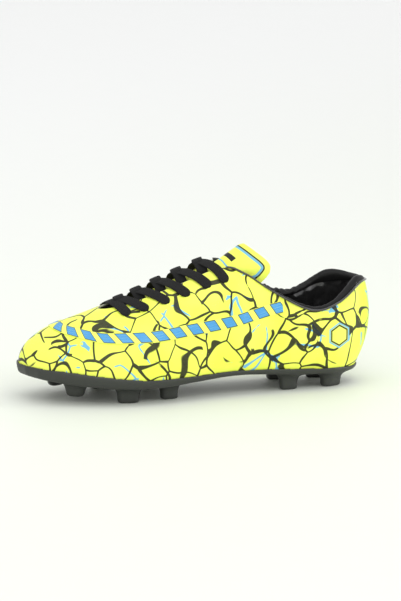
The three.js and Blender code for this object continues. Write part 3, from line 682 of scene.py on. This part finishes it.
def woven(name, dark, light, period):
    """Flat weave on the piece's own UV, in millimetres."""
    s = Shader(name, Specular_IOR_Level=0.3)
    along, across = s.uv()
    warp = s.wave(s.math("ADD", along, across), period)
    weft = s.wave(s.math("SUBTRACT", along, across), period)
    threads = s.lerp(0.5, 1.0, s.times(warp, weft))
    fuzz = s.noise(s.place(), 1500, 3)
    tone = s.times(s.between(0.3, 0.9, threads), s.lerp(0.5, 1.2, fuzz))
    s.bump((threads, 0.00022), (fuzz, 0.0001))
    return s.surface(s.mix(tone, dark, light), 0.85)


def spun(name, dark, light, scale, roughness=0.92, lumps=0.0003):
    """Felt, foam or board: fine lumps with no direction."""
    s = Shader(name)
    point = s.place()
    cells = s.voronoi(point, scale)
    tone = s.times(cells, s.lerp(0.6, 1.3, s.noise(point, scale * 0.2, 2)))
    color = s.mix(tone, light, dark)
    s.bump((cells, lumps), (s.noise(point, scale * 2.5, 2), lumps / 3))
    return s.surface(color, roughness)


# Flap markings, in millimetres: distances from the flap's edge, and places across and along it.
BORDER_BLACK = 5.0
BORDER_BLUE = 6.6
CROSS_LINE = 6
BAR_ACROSS = 3
BAR_ALONG = 13
BAR_HALF_WIDTH = 6.5
BAR_HALF_HEIGHT = 2.2
PRINT_SOFT = 0.12


def tongue_print():
    """Yellow tongue face with a black and blue border on the free flap and a plain black bar."""
    s = Shader("tongue_print", Specular_IOR_Level=0.35, Coat_Weight=0.05, Coat_Roughness=0.3)
    point = s.place()
    across, along = s.uv()
    inside = s.axes(s.node("ShaderNodeUVMap", {}, uv_map="EdgeMap"))[0]
    on_flap = s.between(CROSS_LINE - 0.8, CROSS_LINE - 0.6, along)
    within_border = s.between(BORDER_BLUE - 0.1, BORDER_BLUE + 0.1, inside)
    black = s.times(s.line(inside, BORDER_BLACK, 0.6, PRINT_SOFT), on_flap)
    blue = s.times(s.line(inside, BORDER_BLUE, 0.95, PRINT_SOFT), on_flap)
    cross = s.times(s.line(along, CROSS_LINE, 0.65, PRINT_SOFT), within_border)
    bar_row = s.line(along, BAR_ALONG, BAR_HALF_HEIGHT, PRINT_SOFT)
    bar = s.times(bar_row, s.line(across, BAR_ACROSS, BAR_HALF_WIDTH, PRINT_SOFT))
    color = s.mix(s.most(blue, cross), yellow(s), SKY)
    color = s.mix(s.most(black, bar), color, CHARCOAL)
    s.bump((s.noise(point, 150, 2), 0.0003), (s.noise(point, 1300, 3), 0.00012))
    return s.surface(color, s.uneven(0.4, 0.55, 260))


def floor_paper():
    """Pale paper with painted shade: a little greyer and greener near the camera."""
    s = Shader("floor_paper")
    x, y, _ = s.axes(s.place())
    # Painted shade: the paper darkens and turns greener towards the camera.
    far = s.between(-0.6, 1.6, s.math("MULTIPLY_ADD", x, -0.5, y))
    color = s.mix(far, linear(226, 231, 218), linear(246, 247, 246))
    speckle = s.uneven(0.985, 1.0, 40)
    color = s.mix(s.invert(speckle), color, linear(120, 122, 110))
    return s.surface(color, 0.55)


UPPER = printed_upper()
CUT_EDGE = cut_edge()
BAND = band_film()
LINING = black_leather("lining_leather", crease=0.001, coat=1.0, tones=(14, 46))
# Painted highlight: the piping is black leather, and its lighter grey tones stand in for the highlight line
# along it.
PIPING_PAINTED_SHEEN = black_leather("piping_leather_painted_sheen", crease=0.0001, coat=0.8, tones=(9, 84))
TRIM = black_leather("collar_leather", grain=900, rough=(0.4, 0.6), coat=0.12, tones=(9, 20), shine=0.18)
SOLE = moulded_sole()
LACE = woven("lace_weave", grey(8), grey(46), 1.15)
CLOTH = spun("dark_felt", linear(20, 20, 21), linear(46, 46, 47), 900)
FOAM = spun("dark_foam", linear(30, 30, 32), linear(62, 62, 64), 700, lumps=0.0004)
BOARD = spun("fibre_board", linear(120, 98, 70), linear(176, 152, 118), 500, 0.85)
STIFF = spun("stiffener_sheet", linear(190, 186, 176), linear(226, 222, 214), 400, 0.7)
TIP = black_leather("lace_tip", grain=2500, crease=0.0001, rough=(0.16, 0.24))
TONGUE = tongue_print()


# --- the upper and what backs it ---
def shell_depths(t, r):
    point = surface(t, r)
    lump = (wobble(point, 28, 0.35, 1) + wobble(point, 9, 0.08, 2)) * smooth(0, 0.12, r)
    return -lump, SHELL - lump * 0.5


PUNCH_SIDES = 20
PUNCH_DEPTH = 1.5  # where a punch's middle lies below the surface
PUNCH_LENGTH = 9


def punch(piece):
    """Cuts the punched eyelets out of a layer of the upper."""
    cutter = bmesh.new()
    for t in EYELETS:
        r = float(top_line(t)) - EYELET_INSET
        n = Vector(normal(t, r))
        at = (Vector(on_surface(t, r, -PUNCH_DEPTH)) + Vector(CENTRING)) * MM
        turn = n.to_track_quat("Z", "Y").to_matrix().to_4x4()
        bmesh.ops.create_cone(
            cutter, cap_ends=True, segments=PUNCH_SIDES, radius1=EYELET * MM, radius2=EYELET * MM,
            depth=PUNCH_LENGTH * MM, matrix=Matrix.Translation(at) @ turn,
        )
    mesh = bpy.data.meshes.new("cutter")
    cutter.to_mesh(mesh)
    cutter.free()
    tool = link_object("cutter", mesh)
    modifier = piece.modifiers.new("punch", "BOOLEAN")
    modifier.operation = "DIFFERENCE"
    modifier.object = tool
    modifier.solver = "FAST"
    apply_modifiers(piece)
    bpy.data.objects.remove(tool)
    return piece


def apply_modifiers(piece):
    """Puts the modifiers' result into the mesh."""
    bpy.context.view_layer.update()
    evaluated = piece.evaluated_get(bpy.context.evaluated_depsgraph_get())
    mesh = bpy.data.meshes.new_from_object(evaluated)
    piece.modifiers.clear()
    piece.data = mesh


upper = skin("upper", RING, shell_depths, [UPPER, CUT_EDGE], first=0, rows=44, ring=True, rim=0.4, top_slot=1)
declare(punch(upper), ["upper_shell"])


LOW_POINT = 8.1  # where the collar is lowest, in ribs from the toe
LOW_REACH = 1.1


def gathers(t, lean):
    """Pleats at the collar's low points, deepest on the inner side; from -1 to 1."""
    a = from_toe(t)
    amount = np.exp(-((a - LOW_POINT) / LOW_REACH) ** 2) * np.where(np.mod(t, RIB_COUNT) > HEEL, 1.0, 0.3)
    return amount * (0.55 * np.sin(a * 19 + 1.8 * np.sin(a * 6) + lean) + 0.45 * np.sin(a * 37 - lean))


def plain_lining(t, r):
    outer = lining_depth(t, r)
    return outer, outer + BACKER


def soft_lining(t, r):
    """The lining of the quarters and heel, with soft folds and pleats."""
    outer = lining_depth(t, r)
    point = surface(t, r)
    soft = wobble(point, 20, 1.6, 3) + wobble(point * np.array([1, 1, 0.3]), 6.5, 2.0, 4)
    swell = smooth(6.6, 8, from_toe(t)) * smooth(0.1, 0.4, r) * (1 - smooth(0.95, 1, r))
    pleats = 1.4 * gathers(t, 3 * r) * smooth(0.35, 0.7, r)
    return outer, outer + BACKER + swell * (soft + pleats)


def padding_depths(t, r):
    return BACKED + TAPE_ROOM + 0 * t * r, lining_depth(t, r) - GAP


FRONT_END = 5.97  # where the forefoot's layers end; the quarters' layers start just behind it
TAPE_ROOM = 0.7  # tape and its clearance
vamp = skin("forefoot_lining", around_toe(FRONT_END), plain_lining, [CLOTH])
declare(punch(vamp), ["vamp_lining"])
quarters = skin("heel_lining", np.linspace(6.05, 17.95, 301), soft_lining, [LINING], rows=48)
declare(quarters, ["quarter_lining"])
foam = skin("collar_padding", between(6.5, 17.5), padding_depths, [FOAM], first=0.5, last=0.96)
declare(foam, ["collar_foam"])
heel_depths = constant(BACKED + TAPE_ROOM, BACKED + 1.6)
heel = skin("heel_stiffener", between(9, 15), heel_depths, [STIFF], last=0.47)
declare(heel, ["heel_counter"])
tape = skin("back_seam_tape", between(11.5, 12.5), constant(BACKED, BACKED + 0.4), [CLOTH])
declare(tape, ["heel_seam_tape"])
toe = skin("toe_stiffener", around_toe(2.5), constant(BACKED, BACKED + BACKER), [STIFF], last=0.82)
declare(toe, ["toe_puff"])
STAY_START = 3.35
outer_stay = (STAY_START, FRONT_END)
inner_stay = (RIB_COUNT - FRONT_END, RIB_COUNT - STAY_START)
for side, ends in (("outer", outer_stay), ("inner", inner_stay)):
    depths = constant(BACKED, BACKED + BACKER)
    stay = skin(f"eyelet_backer_{side}", between(*ends), depths, [CLOTH], first=0.67)
    declare(punch(stay), [f"eyestay_backer_{side}"])


# --- band ---
# The band's cross-section: places across it and how far it rises there, as shares.
BAND_ACROSS = (-1, -0.985, -0.9, -0.6, -0.3, 0, 0.3, 0.6, 0.9, 0.985, 1)
BAND_RISE = (0, 0.7, 1, 1, 1, 1, 1, 1, 1, 0.7, 0)
BAND_FOOT = 0.15  # the height of its underside above the upper


def make_band():
    ts = around_toe(BAND_END)
    row = row_at(ts, profile(BAND_HEIGHT, from_toe(ts)))
    per_row = np.linalg.norm(surface(ts, row + 0.02) - surface(ts, row - 0.02), axis=-1) / 0.04
    along = lengths_along(on_surface(ts, row, 0))
    along = along - along[len(along) // 2]
    across = np.array(BAND_ACROSS) * BAND_WIDTH / 2
    t = ts[:, None]
    r = row[:, None] + across[None] / per_row[:, None]
    uv = np.stack(np.broadcast_arrays(along[:, None], across[None]), -1)
    shape = Shape()
    top = on_surface(t, r, GAP + np.array(BAND_RISE)[None] * BAND_THICKNESS)
    under = on_surface(t, r, BAND_FOOT + 0 * t * r)
    shape.grid(top, uv)
    shape.grid(under, uv)
    for end in (0, -1):
        shape.strip(top[end], under[end])
    for edge in (0, -1):
        shape.strip(top[:, edge], under[:, edge], uv[:, edge])
    return shape.build("trim_band", [BAND])


declare(make_band(), ["side_band"])


# --- collar ---
COLLAR = np.linspace(6.1, 17.9, 285)
INNER_HUMP = 4  # how much higher the roll rises beside the heel on the inner side
INNER_HUMP_AT = 13.5
PIPING_RADIUS = 0.85
PIPING_OUT = 0.95  # the piping's middle, outwards and down from the collar's edge
PIPING_DOWN = 0.45
CAP_SHARES = (1, 0.6, 0.2, 0)


def top_frame(t):
    """The collar's edge, and its outward and upward directions."""
    r = top_line(t)
    up = unit(surface(t, r) - surface(t, r - 0.02))
    return surface(t, r), normal(t, r), up


def end_caps(shape, rings):
    """Closes both ends of a tube with shrinking rings."""
    for end in (0, -1):
        centre = rings[end].mean(0)
        steps = np.stack([centre + (rings[end] - centre) * share for share in CAP_SHARES])
        shape.grid(steps)
        shape.grid(steps[:, [-1, 0]])


def tube(rings, name, material):
    shape = Shape()
    shape.grid(np.concatenate([rings, rings[:, :1]], 1))
    end_caps(shape, rings)
    return shape.build(name, [material])


def collar_roll():
    at, out, up = top_frame(COLLAR)
    a = from_toe(COLLAR)
    width = (lining_depth(COLLAR, top_line(COLLAR)) + BACKER) * smooth(5.4, 7, a) + 0.6
    height = profile(ROLL_HEIGHT, a) + INNER_HUMP * np.exp(-((COLLAR - INNER_HUMP_AT) / 0.7) ** 2)
    angles = np.linspace(0, math.pi, 15)[None]
    across = (power(np.cos(angles), 0.75) - 1) / 2 * width[:, None] + 0.1
    rise = GAP + np.sin(angles) ** 0.8 * height[:, None]
    folds = wobble(beside(at, out, up, across, rise), 5, 0.25, 5) * smooth(8, 10, a)[:, None]
    bulge = (folds + 1.7 * gathers(COLLAR[:, None], 2.2 * angles)) * np.sin(angles) ** 0.5
    rings = beside(at, out, up, across + bulge * np.cos(angles), rise + bulge * np.sin(angles))
    return tube(rings, "padded_collar", TRIM)


declare(collar_roll(), ["collar_roll"])


def piping():
    at, out, up = top_frame(COLLAR)
    angles = ring_angles(10)[None]
    centre = at + out * PIPING_OUT - up * PIPING_DOWN
    rings = beside(centre, out, up, PIPING_RADIUS * np.cos(angles), PIPING_RADIUS * np.sin(angles))
    return tube(rings, "collar_piping", PIPING_PAINTED_SHEEN)


declare(piping(), ["collar_binding"])


# --- tongue ---
TONGUE_START = 2.7
TONGUE_BEND = 5.98
TONGUE_DEPTH = SHELL + 2 * BACKER + 3 * GAP + LACE_THICKNESS + 1.8
TONGUE_CROWN = 2.2
TONGUE_COLUMNS = 41
TONGUE_ROWS = 46  # as far as the bend
FLAP_ROWS = 21
# The flap's top edge: places across it, from the inner to the outer side, and their points.
FLAP_TOP = (
    (-1, (45.5, 16.5, 88)), (-0.85, (50, 17.5, 98.5)), (-0.6, (47, 15.5, 108)), (-0.3, (43, 10, 114)),
    (0, (43, 2.5, 116)), (0.3, (48.9, -8, 111.3)), (0.6, (57.7, -15, 103.2)), (0.7, (59.3, -16.4, 99.8)),
    (0.85, (58.8, -17.2, 95)), (1, (50.5, -16.2, 85)),
)
FLAP_WAIST = 3.2


def tongue_frame(a, b):
    """Points on the tongue's face and outward directions; b is -1 at the inner edge, 1 at the outer."""
    r = 1 - np.abs(b) * (1 - profile(TONGUE_ROW, a))
    crown = TONGUE_CROWN * smooth(3.2, 4.2, a) * (1 - smooth(0.1, 0.5, np.abs(b)))
    point, out = with_middle(np.where(b > 0, a, RIB_COUNT - a), r, np.abs(b) < AT_MIDDLE)
    return point + out * (crown - TONGUE_DEPTH)[..., None], out


def flap_frame(s, b):
    """The same on the flap; s is 0 at the bend and 1 at the flap's top edge."""
    root, root_out = tongue_frame(TONGUE_BEND + 0 * b, b)
    top = np.stack([profile([(at, p[c]) for at, p in FLAP_TOP], b) for c in range(3)], -1)
    point = mix(root, top, s)
    hump = 4 * s * (1 - s)
    point[..., 1] += np.sign(b) * FLAP_WAIST * hump * b * b
    out = unit(np.stack([-0.5 * (1 - np.abs(b)), -0.7 * b, 1 - 0.75 * b * b], -1))
    return point, unit(mix(root_out, out, smooth(0, 0.3, s)))


def tongue_grid():
    """The whole tongue from the toe end to the flap's top edge, with its UV."""
    b = np.linspace(-1, 1, TONGUE_COLUMNS)[None, :]
    a = np.linspace(TONGUE_START, TONGUE_BEND, TONGUE_ROWS)[:, None]
    s = np.linspace(0, 1, FLAP_ROWS + 1)[1:, None]
    lower, lower_out = tongue_frame(*np.broadcast_arrays(a, b))
    upper_part, upper_out = flap_frame(*np.broadcast_arrays(s, b))
    point = np.concatenate([lower, upper_part])
    out = np.concatenate([lower_out, upper_out])
    for _ in range(6):
        point[1:-1] = (point[:-2] + 2 * point[1:-1] + point[2:]) / 4
        out[1:-1] = unit(out[:-2] + 2 * out[1:-1] + out[2:])
    middle = TONGUE_COLUMNS // 2
    along = lengths_along(point[:, middle])
    steps = np.linalg.norm(np.diff(point, axis=1), axis=-1)
    across = np.concatenate([np.zeros((len(point), 1)), np.cumsum(steps, 1)], 1)
    across = across - across[:, middle, None]
    uv = np.stack([across, np.broadcast_to((along - along[TONGUE_ROWS - 1])[:, None], across.shape)], -1)
    return point, out, uv


TONGUE_GRID = tongue_grid()
EDGE_SPREAD = 18  # how far the printed border runs off the flap's sides at the root


def add_edge_map(piece):
    """A second UV layer whose first value is the distance to the flap's edge, in millimetres."""
    point = TONGUE_GRID[0][TONGUE_ROWS - 1:]
    spread = EDGE_SPREAD * (1 - np.linspace(0, 1, len(point)))[:, None] ** 0.8
    inner_edge = point[:, 0] + unit(point[:, 0] - point[:, 1]) * spread
    outer_edge = point[:, -1] + unit(point[:, -1] - point[:, -2]) * spread
    edges = np.concatenate([inner_edge, point[-1], outer_edge[::-1]])
    steps = np.linspace(0, 1, 8, endpoint=False)
    outline = mix(edges[:-1, None], edges[1:, None], steps[None]).reshape(-1, 3)
    mesh = piece.data
    corners = np.array([v.co for v in mesh.vertices]) / MM - CENTRING
    reach = np.array([np.sqrt(((outline - corner) ** 2).sum(1).min()) for corner in corners])
    values = np.zeros((len(mesh.loops), 2), np.float32)
    values[:, 0] = reach[[loop.vertex_index for loop in mesh.loops]]
    mesh.uv_layers.new(name="EdgeMap").data.foreach_set("uv", values.reshape(-1))
    mesh.uv_layers["UVMap"].active_render = True
    return piece


RIM_CELLS = 3


def rim_share(points):
    """How close each point lies to the tongue's edge, from 0 inside to 1 on the edge."""
    rows, columns = points.shape[:2]
    to_side = np.minimum(np.arange(columns), np.arange(columns)[::-1])
    to_end = np.arange(rows)[::-1, None]
    return 1 - np.clip(np.minimum(to_side, to_end) / RIM_CELLS, 0, 1)


def tongue_layer(name, top, under, edge_top, edge_under, material):
    """A layer of the tongue between two depths, which come closer together at its edge."""
    point, out, uv = TONGUE_GRID
    rim = rim_share(point) ** 1.6
    upper_side = top + (edge_top - top) * rim
    lower_side = under + (edge_under - under) * rim
    swell = wobble(point, 14, 0.25, 6)
    shape = Shape()
    over = point - out * (upper_side - swell)[..., None]
    below = point - out * (lower_side - swell * 0.6)[..., None]
    shape.grid(over, uv)
    shape.grid(below, uv)
    for end in (0, -1):
        shape.strip(over[end], below[end], uv[end])
        shape.strip(over[:, end], below[:, end], uv[:, end])
    return shape.build(name, [material])


def bend_with_flap(piece, nodes):
    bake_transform(piece)
    declare(piece, nodes, body=None)


# Depths below the tongue's face: top and underside in the middle, then at the edge.
tongue_pad = tongue_layer("tongue_padding", 1.0, 3.7, 2.1, 2.6, FOAM)
bend_with_flap(tongue_pad, ["tongue_foam", "tongue_flap_foam"])
tongue_cover = add_edge_map(tongue_layer("tongue_cover", 0, 0.85, 1.3, 1.9, TONGUE))
bend_with_flap(tongue_cover, ["tongue_face", "tongue_flap_face"])
tongue_back = tongue_layer("tongue_back", 3.9, 4.6, 2.7, 3.3, LINING)
bend_with_flap(tongue_back, ["tongue_lining", "tongue_flap_lining"])


# --- lace ---
LACE_UNDER = -4.7  # height of the lace under the throat's sides
LACE_POINTS = 64
LACE_ROUND = 4.5  # length of a rounded end
PEG_POINTS = 8
TAIL_POINTS = 12
TAIL_REACH = 0.3  # how far down the rib a lace's end is tucked, as a share of the rib


def resample(points, count):
    """Smooth curve through the points, evenly spaced; the points may carry extra columns."""
    knots = lengths_along(points[:, :3])
    padded = np.vstack([2 * points[0] - points[1], points, 2 * points[-1] - points[-2]])
    at = np.linspace(0, knots[-1], count)
    i = np.clip(np.searchsorted(knots, at, side="right") - 1, 0, len(points) - 2)
    s = ((at - knots[i]) / (knots[i + 1] - knots[i]))[:, None]
    return catmull(padded[i], padded[i + 1], padded[i + 2], padded[i + 3], s)


def ribbon(shape, path, up, width, thickness):
    """A soft flat lace along a path; width is given at each point."""
    forward = unit(np.gradient(path, axis=0))
    across = unit(np.cross(forward, up))
    lift = unit(np.cross(across, forward))
    angles = ring_angles(16)
    w = power(np.cos(angles), 0.6)
    h = power(np.sin(angles), 0.6) + 0.15 * (1 - w * w)
    rings = beside(path, across, lift, w[None] * width[:, None] / 2, h[None] * thickness / 2)
    over_width = (np.append(w, w[0]) * LACE_WIDTH / 2)[None]
    uv = np.stack(np.broadcast_arrays(lengths_along(path)[:, None], over_width), -1)
    shape.grid(np.concatenate([rings, rings[:, :1]], 1), uv)
    end_caps(shape, rings)


def crossing(over):
    """A lace's stations, shares of the way across and heights; over is how far it clears the other lace."""
    rise = 1.7 + over
    return [
        (0.02, LACE_UNDER), (0.13, LACE_UNDER), (0.25, -4.4), (0.31, -2.0), (0.38, 0.4),
        (0.44, rise - 0.3), (0.5, rise), (0.57, rise), (0.66, 1.7), (0.8, 1.35),
        (0.9, 1.2), (0.975, 1.15), (1.02, 0.7), (1.035, -0.6),
    ]


def lace_path(inner_rib, outer_rib, stations):
    """Points of a lace across the throat, and the directions away from the upper there."""
    share, depth = (np.array(v) for v in zip(*stations))
    rib = inner_rib + (outer_rib - inner_rib) * np.clip(share, 0, 1)
    inner = share < 0.5
    eyelet_drop = 1 - top_line(np.where(inner, inner_rib, outer_rib)) + EYELET_INSET
    r = 1 - np.abs(2 * share - 1) * eyelet_drop
    t = np.where(inner, RIB_COUNT - rib, rib)
    point, n = with_middle(t, r, np.abs(share - 0.5) < AT_MIDDLE)
    return point + n * depth[:, None], n


# Stations of the first run, straight across over the throat, as far as its middle.
BAR = [(-0.035, -0.6), (-0.02, 0.7), (0.025, 1.15), (0.1, 1.2), (0.25, 1.35), (0.4, 1.6), (0.5, 1.8)]


def mirrored(stations):
    return [(1 - share, height) for share, height in stations]


def add_run(shape, inner_rib, outer_rib, stations, round_ends):
    """A lace from an inner to an outer eyelet; round_ends says which of its ends are rounded."""
    path, n = lace_path(inner_rib, outer_rib, stations)
    fine = resample(np.hstack([path, n]), LACE_POINTS)
    x = np.linspace(0, 1, LACE_POINTS)
    length = lengths_along(fine[:, :3])[-1]
    width = np.full(LACE_POINTS, float(LACE_WIDTH))
    for near, rounded in ((x, round_ends[0]), (1 - x, round_ends[1])):
        if rounded:
            width *= np.sqrt(1 - np.clip(1 - near * length / LACE_ROUND, 0, 0.93) ** 2)
    ribbon(shape, fine[:, :3], unit(fine[:, 3:]), width, LACE_THICKNESS)


def add_peg(shape, t):
    """The lace inside an eyelet, squeezed together."""
    r = top_line(t) - EYELET_INSET
    path = on_surface(t, r, np.linspace(0.4, -4.9, PEG_POINTS))
    up = unit(surface(t, r + 0.02) - surface(t, r - 0.02))
    ribbon(shape, path, np.broadcast_to(up, path.shape), np.full(PEG_POINTS, 2 * LACE_PEG), 1.6 * LACE_PEG)


def add_tail(shape, t):
    """The lace's end, tucked down inside the upper."""
    drop = np.linspace(0, TAIL_REACH, TAIL_POINTS)
    r = top_line(t) - EYELET_INSET - drop
    path = on_surface(t, r, LACE_UNDER - 2 * drop)
    ribbon(shape, path, normal(t, r), np.full(TAIL_POINTS, LACE_WIDTH * 0.6), LACE_THICKNESS)


def make_lace():
    shape = Shape()
    add_run(shape, INNER_ROW[0], OUTER_ROW[0], BAR + mirrored(BAR[-2::-1]), (True, True))
    for k in range(len(EYELET_RIBS) - 1):
        add_run(shape, INNER_ROW[k], OUTER_ROW[k + 1], crossing(0), (False, True))
        add_run(shape, INNER_ROW[k + 1], OUTER_ROW[k], mirrored(crossing(1.3)), (False, True))
    for t in EYELETS:
        add_peg(shape, t)
    for t in (OUTER_ROW[-1], RIB_COUNT - INNER_ROW[-1]):
        add_tail(shape, t)
    return shape.build("flat_lace", [LACE], sharp=80, weld=0.001)


declare(make_lace(), ["lace"])


# --- footbed ---
FOOTBED_INSET = 0.6  # between the footbed and the lining


def footbed(name, low, high, edge, material, seed):
    """A layer between two heights above the floor, crowned by edge at its rim."""
    flat = unit(normal(RING, 0) * np.array([1, 1, 0]))
    rim = surface(RING, 0) - flat * (lining_depth(RING, 0) + BACKER + FOOTBED_INSET)[:, None]
    a = from_toe(RING)
    middle_y = (surface(a, 0)[:, 1] + surface(RIB_COUNT - a, 0)[:, 1]) / 2
    spine = np.stack([profile(SPINE_X, a), middle_y], -1)
    shares = np.linspace(0, 1, 12)
    xy = mix(rim[:, None, :2], spine[:, None], shares[None, :])
    height = floor_height(xy[..., 0], xy[..., 1])
    lift = edge * (1 - smooth(0, 0.3, shares))[None]
    soft = wobble(np.dstack([xy, height]), 20, 0.25, seed)
    under = np.dstack([xy, height + low])
    over = np.dstack([xy, height + high + lift + soft * smooth(0, 0.2, shares)[None]])
    shape = Shape()
    shape.grid(under, closed=True)
    shape.grid(over, closed=True)
    shape.strip(over[:, 0], under[:, 0], closed=True)
    return shape.build(name, [material])


FOAM_TOP = FOOT_PLATE + GAP + SOCK_FOAM
COVER_TOP = FOAM_TOP + GAP + 1.2 + SOCK_CLOTH
sock_foam = footbed("footbed_padding", FOOT_PLATE + GAP, FOAM_TOP - GAP, 1.0, FOAM, 7)
declare(sock_foam, ["footbed_foam"])
declare(footbed("footbed_cover", FOAM_TOP, COVER_TOP, 0.4, CLOTH, 8), ["footbed_cloth"])


# --- outsole ---
# Studs: x, y, turn in degrees, length and width at the tip. Each one flares into the plate.
STUDS = (
    (-102, -17, -32, 14, 9), (-104, 29, 24, 14, 9), (-63, -31, -10, 16, 9), (-67, 30, 6, 16, 9),
    (-28, -26, 8, 13, 9), (-29, 22, -8, 13, 9), (73, -20, 2, 13, 9), (76, 21, -2, 13, 9),
    (109.5, -17, 22, 16, 9), (109.5, 18, -22, 16, 9),
)
FLARE = ((-9.5, 0.8), (-7, 1.6), (-5.2, 3), (-4.2, 4.8), (-3.2, 7))  # height from the floor, extra half width
VOXEL = 0.0009


def add_flares(mesh):
    """Adds a skirt round each stud's root; the voxel remesh then joins it to the plate."""
    work = bmesh.new()
    work.from_mesh(mesh)
    angles = ring_angles(24)
    for x, y, turn, length, width in STUDS:
        c, s = math.cos(math.radians(turn)), math.sin(math.radians(turn))
        rings = []
        for height, grow in FLARE:
            u = power(np.cos(angles), 0.6) * (length / 2 + grow)
            v = power(np.sin(angles), 0.6) * (width / 2 + grow)
            px = x + u * c - v * s
            py = y + u * s + v * c
            ring = np.stack([px, py, floor_height(px, py) + height], -1)
            rings.append([work.verts.new((p + CENTRING) * MM) for p in ring])
        for low, high in zip(rings, rings[1:]):
            for k in range(len(low)):
                m = (k + 1) % len(low)
                work.faces.new((low[k], low[m], high[m], high[k]))
        work.faces.new(rings[0][::-1])
        work.faces.new(rings[-1])
    work.to_mesh(mesh)
    work.free()


def above_tips(z):
    """The whole outsole but the studs' flat tips and the edge that holds the upper; z is in metres."""
    return np.clip((z - 0.0012) / 0.004, 0, 1) * np.clip((0.0185 - z) / 0.004, 0, 1)


def off_ground(z):
    return np.clip((z - 0.0004) / 0.001, 0, 1)


def outsole():
    piece = link_object("moulded_outsole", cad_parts["outsole"].data.copy())
    add_flares(piece.data)
    remesh = piece.modifiers.new("voxels", "REMESH")
    remesh.mode = "VOXEL"
    remesh.voxel_size = VOXEL
    apply_modifiers(piece)
    soften(piece, 26, above_tips)
    soften(piece, 5, off_ground)
    piece.data.materials.clear()
    piece.data.materials.append(SOLE)
    for polygon in piece.data.polygons:
        polygon.use_smooth = True
    return declare(piece, ["outsole"])


def soften(piece, rounds, weight_at):
    """Laplacian smoothing, weighted by height above the ground."""
    mesh = piece.data
    points = np.zeros(len(mesh.vertices) * 3)
    mesh.vertices.foreach_get("co", points)
    points = points.reshape(-1, 3)
    edges = np.zeros(len(mesh.edges) * 2, int)
    mesh.edges.foreach_get("vertices", edges)
    one, two = edges.reshape(-1, 2).T
    count = np.bincount(np.concatenate([one, two]), minlength=len(points))[:, None]
    weight = weight_at(points[:, 2])[:, None]
    for _ in range(rounds):
        total = np.zeros_like(points)
        np.add.at(total, one, points[two])
        np.add.at(total, two, points[one])
        points = points + 0.6 * weight * (total / count - points)
    mesh.vertices.foreach_set("co", points.reshape(-1))
    mesh.update()


outsole()

for node, material in (("lasting_board", BOARD), ("aglet_outer", TIP), ("aglet_inner", TIP)):
    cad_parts[node].data.materials.clear()
    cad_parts[node].data.materials.append(material)


# --- stage ---
FLOOR_REACH = 14
WORLD_LIGHT = 0.95
# Area lights: name, place, what they point at, width and height, power in watts.
LIGHTS = (
    ("overhead", (-0.1, -0.2, 1.5), (0, 0, 0), (1.8, 1.4), 5),
    ("front", (-0.9, -1.7, 0.9), (0, 0, 0.05), (1.6, 1.2), 7),
    ("lining_glint", (-0.1, -1.1, 1.0), (0.1, 0, 0.06), (0.35, 0.35), 2),
    ("heel_strip", (1.1, -0.45, 0.3), (0.12, 0, 0.06), (0.06, 0.6), 4),
)


def area_light(name, location, target, size, watts):
    data = bpy.data.lights.new(name, "AREA")
    data.shape = "RECTANGLE"
    data.size, data.size_y = size
    data.energy = watts
    light = link_object(name, data)
    light.location = location
    light.rotation_euler = (Vector(target) - Vector(location)).to_track_quat("-Z", "Y").to_euler()


def make_stage():
    mesh = bpy.data.meshes.new("floor")
    corners = [(x * FLOOR_REACH, y * FLOOR_REACH, 0) for x, y in ((-1, -1), (1, -1), (1, 1), (-1, 1))]
    mesh.from_pydata(corners, [], [(0, 1, 2, 3)])
    mesh.materials.append(floor_paper())
    link_object("floor", mesh)
    world = bpy.data.worlds.new("studio")
    bpy.context.scene.world = world
    world.use_nodes = True
    background = world.node_tree.nodes["Background"]
    background.inputs["Color"].default_value = (1, 1, 1, 1)
    background.inputs["Strength"].default_value = WORLD_LIGHT
    for light in LIGHTS:
        area_light(*light)
    bpy.context.scene.view_settings.view_transform = "Standard"


make_stage()
